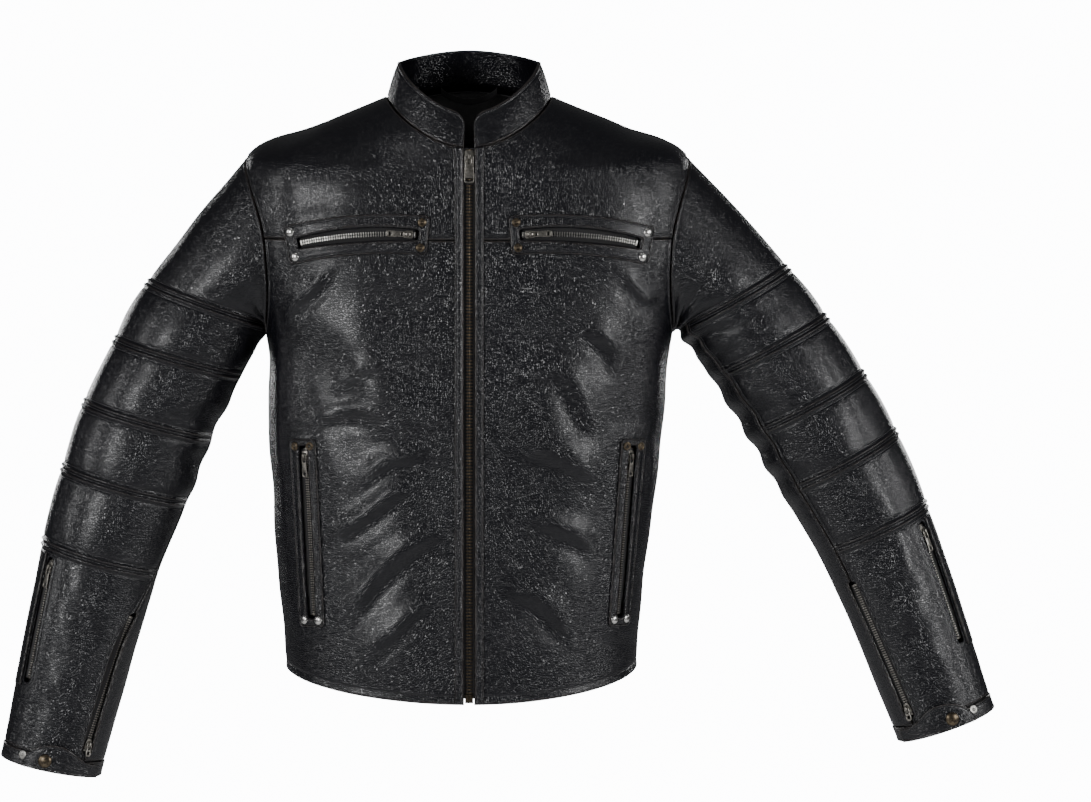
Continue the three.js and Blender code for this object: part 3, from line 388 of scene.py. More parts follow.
class Sleeve:
    """One sleeve's surface, by station and by turn from the front. A quarter turn is its outer side."""

    def __init__(self, name):
        self.name = name
        self.side = SIDES[name]
        arm = 0 if self.side < 0 else 1
        self.centres = [np.array([self.side * 223.0, ARMHOLE["y"], ARMHOLE["z"]])]
        self.outs = []
        for i, run in enumerate(RUNS):
            lean = math.radians(LEANS[arm][i])
            after = math.radians(LEANS[arm][min(i + 1, len(RUNS) - 1)])
            before = self.centres[-1]
            step = run * REACH[arm]
            x = before[0] + self.side * step * math.sin(lean)
            self.centres.append(np.array([x, FORWARD[i], before[2] - step * math.cos(lean)]))
            tilt = (lean + after) / 2 + math.radians(TWISTS[arm][i])
            self.outs.append(np.array([self.side * math.cos(tilt), 0, math.sin(tilt)]) * HALVES[i])
        self.arm = arm
        ring = np.linspace(0, TAU, 721)[:-1]
        self.mouth = form_point(*armhole_spot(self.side, ring))

    def mouth_point(self, turn):
        place = np.mod(turn, TAU) / (TAU) * len(self.mouth)
        i = np.floor(place).astype(int)
        f = (place - i)[..., None]
        a, b, c, d = (self.mouth[(i + k) % len(self.mouth)] for k in (-1, 0, 1, 2))
        return b + 0.5 * f * (c - a + f * (2 * a - 5 * b + 4 * c - d + f * (3 * (b - c) + d - a)))

    def point(self, station, turn):
        station, turn = np.broadcast_arrays(np.asarray(station, float), np.asarray(turn, float))
        rings = [self.mouth_point(turn)]
        for centre, out, deep in zip(self.centres[1:], self.outs, DEPTHS):
            across = np.sin(turn)[..., None] * out
            rings.append(centre + across + np.cos(turn)[..., None] * np.array([0, -deep, 0]))
        return through(np.stack(rings), np.repeat(station[..., None], 3, -1))

    def seam(self, station):
        return np.radians(through(FRONT_SEAM[self.arm], station))

    def station_along(self, start, turn_at, distance):
        """The station a given distance down the sleeve, or up it where the distance is negative."""
        stations = np.arange(start, start + math.copysign(4, distance), math.copysign(0.005, distance))
        way = self.point(stations, turn_at(stations)) - self.point(start, turn_at(start))
        reach = np.linalg.norm(way, axis=-1)
        return stations[np.argmax(reach >= abs(distance))]


SLEEVES = [Sleeve("right"), Sleeve("left")]

# ---- the hanging leather --------------------------------------------------------------------------------
# Leather that hangs on a form lies a little off it, in shallow folds. How far is kept on a grid for the body
# and for each sleeve, and every panel, strip and frame is laid on the form with it.
FOLDS = {}
FOLD_ROWS = 104
FOLD_TURNS = {"body": 180, "right": 72, "left": 72}
ROW_END = {"body": NECK, "right": CUFF_END, "left": CUFF_END}


def signed_turn(angle):
    return np.mod(angle + math.pi, TAU) - math.pi


def cubic_weights(f):
    return (
        ((2 - f) * f - 1) * f / 2,
        ((3 * f - 5) * f * f + 2) / 2,
        ((4 - 3 * f) * f + 1) * f / 2,
        (f - 1) * f * f / 2,
    )


def fold_at(part, a, b):
    """How far the settled leather lies from the form, at a place on the body or on a sleeve."""
    if part not in FOLDS:
        return 0.0
    grid = FOLDS[part]
    rows, turns = grid.shape[:2]
    u = np.clip(a / ROW_END[part], 0, 1) * (rows - 1)
    v = np.mod(b, TAU) / TAU * turns
    i, j = np.floor(u).astype(int), np.floor(v).astype(int)
    total = 0.0
    for k, across in zip((-1, 0, 1, 2), cubic_weights(u - i)):
        row = np.clip(i + k, 0, rows - 1)
        for m, round_ in zip((-1, 0, 1, 2), cubic_weights(v - j)):
            total = total + (across * round_)[..., None] * grid[row, (j + m) % turns]
    return total


def body_skin(level, angle):
    level, angle = np.broadcast_arrays(np.asarray(level, float), np.asarray(angle, float))
    return form_point(level, angle) + fold_at("body", level, angle)


def sleeve_skin(sleeve):
    def skin(station, turn):
        station, turn = np.broadcast_arrays(np.asarray(station, float), np.asarray(turn, float))
        return sleeve.point(station, turn) + fold_at(sleeve.name, station, turn)

    return skin


def normals_on(surface, sign, a, b, step=0.012):
    """Unit normals that point out of a surface. sign is 1 on the body and minus the side on a sleeve."""
    along = surface(a, b + step) - surface(a, b - step)
    up = surface(a + step, b) - surface(a - step, b)
    normal = np.cross(along, up) * sign
    return normal / np.linalg.norm(normal, axis=-1, keepdims=True)


# ---- zips ----------------------------------------------------------------------------------------------
# Nine metal zips: a heavy one down the front, and light ones in the pockets, cuffs and vents. Each runs on a
# path whose y points to the slider's parked end and whose z points out of the leather.
HEAVY = {"pitch": 3.3, "tooth": 3.4, "thick": 1.4, "tape": 11, "droop": 0.3, "width": 9.6, "length": 13,
         "plate": 1.2, "window": 3.4, "pull": (10.4, 27, 1.8)}
LIGHT = {"pitch": 2.5, "tooth": 2.6, "thick": 1.1, "tape": 7.5, "droop": 0.6, "width": 8, "length": 10,
         "plate": 1, "window": 3, "pull": (6.8, 22, 1.5)}
SHORT = {**LIGHT, "droop": 1.2, "pull": (6.4, 13, 1.5)}
SLIP = 0.3
RECESS, ROUND_RECESS = 3.3, 4.4
CHEST_NEAR, CHEST_ZIP = 57, 128.64
CUFF_START, CUFF_ZIP, VENT_ZIP = 12, 146, 124


def unit(vector):
    return np.asarray(vector, float) / np.linalg.norm(vector)


class Path:
    """A zip's way from its parked end, straight or on an arc through a middle point."""

    def __init__(self, parked, far, normal, middle=None):
        self.parked = parked
        self.arc = middle is not None
        if self.arc:
            a, b = middle - parked, far - parked
            turn = np.cross(a, b)
            self.axis = unit(turn)
            self.centre = np.cross(b * a.dot(a) - a * b.dot(b), turn) / (2 * turn.dot(turn)) + parked
            self.radius = np.linalg.norm(self.centre - parked)
            arms = unit(parked - self.centre), unit(far - self.centre)
            self.sweep = math.acos(np.clip(arms[0].dot(arms[1]), -1, 1))
            self.normal = normal
            self.length = self.radius * self.sweep
        else:
            self.y = unit(parked - far)
            self.z = unit(normal - self.y * normal.dot(self.y))
            self.length = np.linalg.norm(parked - far)

    def turned(self, vector, angle):
        c, s = np.cos(angle)[..., None], np.sin(angle)[..., None]
        return vector * c + np.cross(self.axis, vector) * s + self.axis * self.axis.dot(vector) * (1 - c)

    def at(self, t):
        """The place and the axes x, y and z at distances from the parked end."""
        t = np.asarray(t, float)
        if self.arc:
            angle = t / self.radius
            arm = self.parked - self.centre
            y = -self.turned(unit(np.cross(self.axis, arm)), angle)
            z = self.turned(self.normal, angle - self.sweep / 2)
            z = z - y * (z * y).sum(-1, keepdims=True)
            z = z / np.linalg.norm(z, axis=-1, keepdims=True)
            return self.turned(arm, angle) + self.centre, np.cross(y, z), y, z
        y, z = (np.broadcast_to(v, t.shape + (3,)) for v in (self.y, self.z))
        return self.parked - y * t[..., None], np.cross(y, z), y, z

    def located(self, points):
        """How far points lie across the path and along it."""
        t = np.linspace(-30, self.length + 30, 160)
        origin, x, y, _ = self.at(t)
        nearest = np.linalg.norm(points[..., None, :] - origin, axis=-1).argmin(-1)
        off = points - origin[nearest]
        return (off * x[nearest]).sum(-1), t[nearest] - (off * y[nearest]).sum(-1)


def sunk(surface, sign, a, b, depth=RECESS):
    normal = normals_on(surface, sign, a, b, 0.01)
    return surface(a, b) - normal * depth, normal


def body_spot(x, y, z, guess, depth):
    a, b = settle(form_point, np.array([x, y, z], float), *guess)
    return sunk(form_point, 1, a, b, depth)


def chest_path(side):
    ends = [(CHEST_NEAR, -158), (CHEST_NEAR + CHEST_ZIP / 2, -158.5), (CHEST_NEAR + CHEST_ZIP, -167)]
    spots = [body_spot(side * x, -110, z, (PIT + 1, side * x / 180), RECESS) for x, z in ends]
    return Path(spots[0][0], spots[2][0], spots[1][1], spots[1][0])


def hand_path(side):
    ends = ((168, -382), (157, -554))
    top, foot = (body_spot(side * x, -70, z, (2.4, side * 1.1), ROUND_RECESS) for x, z in ends)
    return Path(top[0], foot[0], top[1] + foot[1])


def sleeve_path(sleeve, parked, far):
    ends = [sunk(sleeve.point, -sleeve.side, *spot, ROUND_RECESS) for spot in (parked, far)]
    return Path(ends[0][0], ends[1][0], ends[0][1] + ends[1][1])


VENT_TURN = math.radians(50)
VENT_TOP = 5.2


def at_vent(station):
    return np.full(np.shape(station), VENT_TURN)


CHEST = {name: chest_path(side) for name, side in SIDES.items()}
HAND = {name: hand_path(side) for name, side in SIDES.items()}
CUFF, VENT, CUFF_SPAN, VENT_SPAN = {}, {}, {}, {}
for sleeve in SLEEVES:
    parked = sleeve.station_along(CUFF_TOP, sleeve.seam, -CUFF_START)
    above = sleeve.station_along(parked, sleeve.seam, -CUFF_ZIP)
    CUFF[sleeve.name] = sleeve_path(sleeve, (parked, sleeve.seam(parked)), (above, sleeve.seam(above)))
    CUFF_SPAN[sleeve.name] = (above, parked)
    foot = sleeve.station_along(VENT_TOP, at_vent, VENT_ZIP)
    VENT[sleeve.name] = sleeve_path(sleeve, (VENT_TOP, VENT_TURN), (foot, VENT_TURN))
    VENT_SPAN[sleeve.name] = (VENT_TOP, foot)
front_ends = [sunk(form_point, 1, np.array(level), np.array(0.0))[0] for level in (NECK - 0.08, 0.16)]
MAIN = Path(*front_ends, np.array([0, -1.0, 0]))

# ---- folds -------------------------------------------------------------------------------------------------
# On the fronts the folds run from the arms and hand pockets towards the zip. In the sleeves they gather under
# the arm and inside the elbow. Zips, frames and edges stiffen the leather, so there it lies flat.
FRONT_FOLDS = (
    # start, end, half width and rise of each ridge
    ((-188, -248), (-146, -196), 8, 3.5),
    ((-150, -240), (-62, -372), 32, 3.5),
    ((-140, -318), (-80, -288), 9, 2.6),
    ((-178, -356), (-92, -340), 9, 2.7),
    ((-114, -410), (-40, -378), 10, 3.1),
    ((-142, -472), (-58, -418), 10, 3.8),
    ((-134, -552), (-22, -454), 13, 4.3),
    ((-110, -592), (-30, -532), 10, 2.7),
    ((158, -204), (192, -232), 8, 3.0),
    ((124, -250), (160, -296), 12, 3.5),
    ((88, -290), (134, -362), 14, 3.8),
    ((40, -300), (112, -420), 34, 2.7),
    ((62, -376), (134, -408), 12, 3.5),
    ((66, -444), (132, -484), 13, 3.5),
    ((50, -522), (112, -570), 13, 3.2),
)
GATHERS = {
    # station, turn, stations long, half its turn, waves, rise and slant of each gather of folds
    "right": (
        (0.75, -85, 1.5, 55, 3, 1.8, 0.5),
        (3.1, -80, 1.9, 45, 3, 1.4, -0.6),
        (6.2, 10, 2.2, 50, 3, 0.8, 1.4),
    ),
    "left": (
        (0.8, -75, 1.7, 65, 4, 2.8, 0.6),
        (3.0, -80, 2.2, 50, 4, 1.9, -0.6),
        (6.3, 0, 2.2, 55, 3, 0.9, -1.4),
    ),
}
FOLD_DEEPEST, FOLD_HIGHEST = -3.4, 5.0


def eased(distance, width):
    share = np.clip(distance / width, 0, 1)
    return share * share * (3 - 2 * share)


def held_flat(points, path, half, past, width=16):
    """0 on the strip of leather that a zip and its frame hold flat, rising to 1 away from it."""
    across, along = path.located(points)
    beside = np.clip(np.abs(across) - half, 0, None)
    beyond = np.clip(np.maximum(-past - along, along - path.length - past), 0, None)
    return eased(np.hypot(beside, beyond), width)


def fold_lines(points):
    """Soft ridges between two places on the fronts, bowed and sharper on their lower side."""
    height = np.zeros(points.shape[:2])
    for start, end, half, rise in FRONT_FOLDS:
        run = np.subtract(end, start)
        length = np.linalg.norm(run)
        dx, dz = points[..., 0] - start[0], points[..., 2] - start[1]
        share = (dx * run[0] + dz * run[1]) / length ** 2
        bow = 0.05 * length * np.clip(4 * share * (1 - share), -1, 1) + 2.4 * np.sin(6 * share + start[0])
        off = (dz * run[0] - dx * run[1]) / length - bow
        off = np.where(off < 0, 1.5 * off, off) / half
        ends = np.exp(-1.6 * (2 * share - 1) ** 4)
        height += rise * ends * (np.exp(-off ** 2) - 0.45 * np.exp(-(off + 1.9) ** 2))
    return height


def slow_waves(points, rise, seed, lengths=(55, 70, 85, 105, 130, 170)):
    chance = np.random.default_rng(seed)
    total = 0
    for length in lengths:
        total = total + np.sin(points @ unit(chance.normal(size=3)) * TAU / length + chance.uniform(0, TAU))
    return rise * total / math.sqrt(len(lengths))


def body_folds(level, angle, points):
    front = np.cos(signed_turn(angle)) > 0
    flat = eased(NECK - 0.1 - level, 0.9) * (0.45 + 0.55 * eased(level, 0.5))
    flat = flat * np.where(front, eased(np.abs(points[..., 0]) - 17, 22), 1)
    for name in SIDES:
        for path, size in ((CHEST[name], (24, 19)), (HAND[name], (21, 16))):
            flat = np.where(front, flat * held_flat(points, path, *size), flat)
    beside_arm = eased((armhole_reach(points) - 1) * 80, 22)
    flat = flat * np.where(np.abs(points[..., 0]) > 120, beside_arm, 1)
    small = np.where(front, fold_lines(points), slow_waves(points, 0.6, 5))
    return flat * (slow_waves(points, 1.1, 3) + small)


def sleeve_folds(sleeve):
    def folds(station, turn, points):
        name = sleeve.name
        flat = eased(station - 0.05, 0.35) * eased(CUFF_TOP - 0.3 - station, 0.5)
        turned = signed_turn(turn)
        for path, place in ((CUFF[name], sleeve.seam(station)), (VENT[name], VENT_TURN)):
            near = np.cos(turned - place) > 0.2
            flat = np.where(near, flat * held_flat(points, path, 21, 16), flat)
        height = slow_waves(points, 0.8, 7 + sleeve.arm, (45, 55, 70, 90, 120))
        for at, way, long, half, waves, rise, slant in GATHERS[name]:
            off = signed_turn(turned - math.radians(way))
            share = (station - at) / long
            wave = np.cos(TAU * waves * share + slant * off * 2 + 0.8 * np.sin(3 * off))
            fading = np.exp(-(2 * share) ** 4) * np.exp(-(off / math.radians(half)) ** 2)
            height = height + rise * wave * fading
        return flat * height

    return folds


def lay_folds(part, surface, sign, height_of):
    turns = FOLD_TURNS[part]
    rows = np.linspace(0, ROW_END[part], FOLD_ROWS)
    a, b = np.meshgrid(rows, np.arange(turns) / turns * TAU, indexing="ij")
    height = np.clip(height_of(a, b, surface(a, b)), FOLD_DEEPEST, FOLD_HIGHEST)
    normals = normals_on(surface, sign, np.clip(a, 0.02, ROW_END[part] - 0.02), b)
    FOLDS[part] = normals * height[..., None]


lay_folds("body", form_point, 1, body_folds)
for sleeve in SLEEVES:
    lay_folds(sleeve.name, sleeve.point, -sleeve.side, sleeve_folds(sleeve))

# ---- panels ----------------------------------------------------------------------------------------------
# Each panel is a sheet of leather whose edges are turned under at the seams. Beside a seam it swells a
# little, and the thread of the topstitching draws it down.
LEATHER = 2.0
FINE = (0, 0.25, 0.6, 1.1, 1.7, 2.5, 3.3, 4.1, 4.9, 5.8, 7.2, 9.2, 11.8)
HEM_FINE = (0, 0.3, 0.8, 1.5, 2.6, 4, 5.6, 7.0, 7.8, 8.6, 9.4, 10.4, 12)
STITCH_INSET, HEM_STITCH = 4.1, 8.6
EDGE_RADIUS = 1.5
STITCH_LINES = {"body": [], "right": [], "left": []}


def thick_sheet(name, top, bottom, flipped, keep=None, wrap=False, wear=None, material=None):
    """A closed sheet between two grids of points. keep says which of the grid's cells hold leather."""
    rows, columns = top.shape[:2]
    ids = np.arange(rows * columns).reshape(rows, columns)
    if wrap:
        ids = np.hstack([ids, ids[:, :1]])
    cells = np.stack([ids[:-1, :-1], ids[:-1, 1:], ids[1:, 1:], ids[1:, :-1]], -1)
    if keep is None:
        keep = np.ones(cells.shape[:2], bool)
    under = rows * columns
    faces = [cells[keep], cells[keep][:, ::-1] + under]
    padded = np.pad(keep, 1)
    if wrap:
        padded[1:-1, 0], padded[1:-1, -1] = keep[:, -1], keep[:, 0]
    around = (padded[:-2, 1:-1], padded[1:-1, 2:], padded[2:, 1:-1], padded[1:-1, :-2])
    for k, neighbour in enumerate(around):
        edge = keep & ~neighbour
        a, b = cells[edge][:, k], cells[edge][:, (k + 1) % 4]
        faces.append(np.stack([b, a, a + under, b + under], -1))
    faces = np.concatenate(faces)
    if flipped:
        faces = faces[:, ::-1]
    points = np.concatenate([top.reshape(-1, 3), bottom.reshape(-1, 3)])
    used, faces = np.unique(faces, return_inverse=True)
    piece = mesh_object(name, points[used], faces.reshape(-1, 4), material or leather)
    # The per-point tint mask goes on as an attribute: it marks wear, and partly a painted highlight along
    # edges, lips and crests.
    if wear is not None:
        both = np.concatenate([wear.ravel(), np.zeros(under)])[used]
        piece.data.attributes.new("wear", "FLOAT", "POINT").data.foreach_set("value", both.astype(np.float32))
    return piece


def edge_distances(points):
    """How far each point of a grid lies from its first and last row, and from its first and last column."""
    down = np.zeros(points.shape[:2])
    down[1:] = np.cumsum(np.linalg.norm(np.diff(points, axis=0), axis=-1), axis=0)
    across = np.zeros(points.shape[:2])
    across[:, 1:] = np.cumsum(np.linalg.norm(np.diff(points, axis=1), axis=-1), axis=1)
    return down, down[-1] - down, across, across[:, -1:] - across


def rounded(distance, radius=EDGE_RADIUS):
    inside = np.clip(radius - distance, 0, radius)
    return np.sqrt(radius ** 2 - inside ** 2) - radius


def mound(distance, at, width):
    return np.exp(-((distance - at) / width) ** 2)


def swelling(distance, inset, puff=0.55, draw=0.75):
    return puff * mound(distance, 2.6, 1.6) - draw * mound(distance, inset, 0.75)


def spread(lengths, step, near=FINE, far=FINE):
    """Shares of the way across rows of these lengths: close together at both ends and even between them."""
    lengths = np.atleast_1d(lengths)[:, None]
    near, far = np.array(near)[None], np.array(far)[None]
    count = max(2, int(np.median(lengths - near[0, -1] - far[0, -1]) / step))
    middle = np.linspace(0, 1, count + 1)[1:-1]
    start, end = near[:, -1:] / lengths, 1 - far[:, -1:] / lengths
    return np.hstack([near / lengths, start + (end - start) * middle, 1 - (far / lengths)[:, ::-1]])


def rows_between(surface, low, high, b, step, near=FINE, far=FINE, extra=()):
    """Row places between two edges of a sheet, measured along one line b, with some extra ones."""
    table = np.linspace(low, high, 800)
    walk = np.linalg.norm(np.diff(surface(table, np.full(800, b)), axis=0), axis=-1)
    reach = np.concatenate([[0], np.cumsum(walk)])
    wanted = spread(reach[-1], step, near, far)[0] * reach[-1]
    more = np.interp([e for e in extra if low < e < high], table, reach)
    kept = [wanted[0]]
    for place in sorted([*wanted[1:], *more]):
        if place - kept[-1] > 0.22:
            kept.append(place)
    return np.interp(kept, reach, table)


def row_lengths(surface, levels, low, high):
    shares = np.linspace(0, 1, 60)
    angles = low[:, None] + (high - low)[:, None] * shares
    points = surface(np.repeat(levels[:, None], 60, 1), angles)
    return np.linalg.norm(np.diff(points, axis=1), axis=-1).sum(1)


def sewn(piece, slot, *nodes, body="shell"):
    """The piece stands for these CAD nodes and moves with their body."""
    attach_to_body(piece, body)
    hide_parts(*nodes)
    return piece


def stitch_along(part, points, normals, closed=False):
    STITCH_LINES[part].append((points + normals * 0.05, normals, closed))


def stitch_at(part, top, normals, distance, inset, axis):
    """A line of stitches at a given distance from one edge of a sheet."""
    if axis == 0:
        top, normals, distance = (np.swapaxes(v, 0, 1) for v in (top, normals, distance))
    places, directions = [], []
    for row, ways, reach in zip(top, normals, distance):
        order = np.argsort(reach)
        places.append([np.interp(inset, reach[order], row[order, k]) for k in range(3)])
        directions.append([np.interp(inset, reach[order], ways[order, k]) for k in range(3)])
    stitch_along(part, np.array(places), np.array(directions))


# The zips' mouths in the panels, hidden under the pockets' frames.
def clear_of(points, paths, half=7.5, past=5.5):
    """Which cells of a grid of points lie outside all the zips' mouths."""
    centres = (points[:-1, :-1] + points[1:, 1:]) / 2
    keep = np.ones(centres.shape[:2], bool)
    for path in paths:
        across, along = path.located(centres)
        keep &= (np.abs(across) > half) | (along < -past) | (along > path.length + past / 2)
    return keep


armhole_turns = np.radians([*range(-88, -50, 4), *range(54, 90, 4)])
ARMHOLE_ROWS = [float(armhole_spot(1, turn, ARMHOLE_SEAM)[0]) for turn in armhole_turns]
BODY_STEP = 3.2


def body_panel(name, low, high, edges, at, paths, seams, hem=False):
    """One panel of the body, between two levels and two edges, with turned seams and topstitching."""
    near_rows = HEM_FINE if hem else FINE
    levels = rows_between(form_point, low, high, at, BODY_STEP, near_rows, FINE, ARMHOLE_ROWS)
    start, end = edges[0](levels), edges[1](levels)
    shares = spread(row_lengths(form_point, levels, start, end), BODY_STEP)
    a = np.repeat(levels[:, None], shares.shape[1], 1)
    b = start[:, None] + (end - start)[:, None] * shares
    base = form_point(a, b)
    points = body_skin(a, b)
    normals = normals_on(body_skin, 1, a, b)
    bottom_edge, top_edge, first, last = edge_distances(base)
    armhole = np.clip((armhole_reach(base, ARMHOLE_SEAM) - 1) * 92, 0, None)
    heights = np.minimum.reduce([rounded(d) for d in (bottom_edge, top_edge, first, last, armhole)])
    drawn = {"low": (bottom_edge, 0), "first": (first, 1), "last": (last, 1)}
    insets = {edge: HEM_STITCH if edge == "low" and hem else STITCH_INSET for edge in seams}
    for edge, inset in insets.items():
        heights = heights + swelling(drawn[edge][0], inset)
    heights = heights + swelling(armhole, STITCH_INSET, 0.5, 0.0)
    if hem:
        heights = heights + 0.5 * np.exp(-(bottom_edge / 5) ** 2)
    top = points + normals * heights[..., None]
    for edge, inset in insets.items():
        distance, axis = drawn[edge]
        stitch_at("body", top, normals, distance, inset, axis)
    # Tint mask by the edges: partly wear, partly a painted highlight along them.
    wear = mound(np.minimum.reduce([bottom_edge, top_edge, first, last, armhole]), 0.8, 1.1)
    inner = points - normals * LEATHER
    panel = thick_sheet(name + "_hide", top, inner, False, clear_of(base, paths), wear=wear)
    sewn(panel, "leather", name)


def across_edge(side, x):
    return lambda level: angle_across(level, side * x)


def armhole_edge(side, toward, turn=0.0):
    return lambda level: turn + side_edge(level, side, toward)


GAP = SEAM / 200
for name, side in SIDES.items():
    edges, ends = [across_edge(side, PLACKET_GAP), armhole_edge(side, 1)], ("first", "last")
    if side < 0:
        edges, ends = edges[::-1], ends[::-1]
    paths = [CHEST[name], HAND[name]]
    body_panel(f"front_panel_{name}", 0, YOKE - GAP, edges, side * 0.7, paths, ("low", ends[1]), True)
    body_panel(f"front_yoke_{name}", YOKE + GAP, NECK - GAP, edges, side * 0.7, paths, ("low", ends[1]))
back_edges = [armhole_edge(1, -1), armhole_edge(-1, -1, TAU)]
body_panel("back_panel", 0, BACK_YOKE - GAP, back_edges, math.pi, [], ("low",), True)
body_panel("back_yoke", BACK_YOKE + GAP, NECK - GAP, back_edges, math.pi, [], ("low",))

# ---- sleeves -----------------------------------------------------------------------------------------------
# Each sleeve is a wide top panel and a narrow under panel. Five double ridges cross the top panel, stitched
# over cord, and the leather swells between them. The cuff zip lies in the front seam, and the vent's zip in
# a slot of the top panel.
RIDGES = (1, 2, 3, 4, 5)
RIDGE_APART, RIDGE_WIDTH, RIDGE_RISE = 2.9, 1.5, 1.9
RIDGE_ROWS = np.arange(-8.8, 8.9, 0.8)
RIDGE_STITCH, RIDGE_SINK, RIDGE_RUN = 6.9, 0.6, 74
MOUTH_ROWS, MOUTH_RUN = np.arange(-6, 6.1, 0.7), 68
SLEEVE_MIDDLE = math.radians(40)
SLEEVE_STEP, UNDER_STEP, VENT_STEP = 3.3, 3.6, 1.2
VENT_CLOSED = 0.9
SLOT = 4.9
SLOT_HEAD = 4.5
SWELL = 1.6


def opening(station, span, sleeve, turn_at, closed):
    """Half the width of a zip's mouth at each station: the slot's, with round ends, and closed beyond."""
    turn = turn_at(station)
    run = np.linalg.norm(sleeve.point(station + 0.01, turn) - sleeve.point(station, turn), axis=-1) / 0.01
    past = np.maximum(span[0] - station, station - span[1]) * run
    round_end = np.sqrt(np.clip(1 - (np.clip(past, 0, None) / SLOT_HEAD) ** 2, 0, 1))
    return np.maximum(closed, SLOT * round_end)


def turn_size(sleeve, station, turn):
    """Millimetres for a radian round the sleeve."""
    width = sleeve.point(station, turn + 0.01) - sleeve.point(station, turn - 0.01)
    return np.linalg.norm(width, axis=-1) / 0.02


def ridge_heights(stations, points):
    """The ridges' heights over the top sleeve, from how far each point lies down its own column."""
    down = edge_distances(points)[0]
    total = np.zeros(down.shape)
    for column in range(down.shape[1]):
        marks = np.interp((0, *RIDGES, CUFF_TOP), stations, down[:, column])
        for mark in marks[1:-1]:
            off = np.abs(down[:, column] - mark)
            total[:, column] += RIDGE_RISE * np.exp(-((off - RIDGE_APART) / RIDGE_WIDTH) ** 2)
            total[:, column] -= RIDGE_SINK * np.exp(-((off - RIDGE_STITCH) / 1.3) ** 2)
        for start, end in zip(marks[:-2], marks[1:-1]):
            share = np.clip((down[:, column] - start) / (end - start), 0, 1)
            total[:, column] += SWELL * np.sin(math.pi * share) ** 0.8
    return total


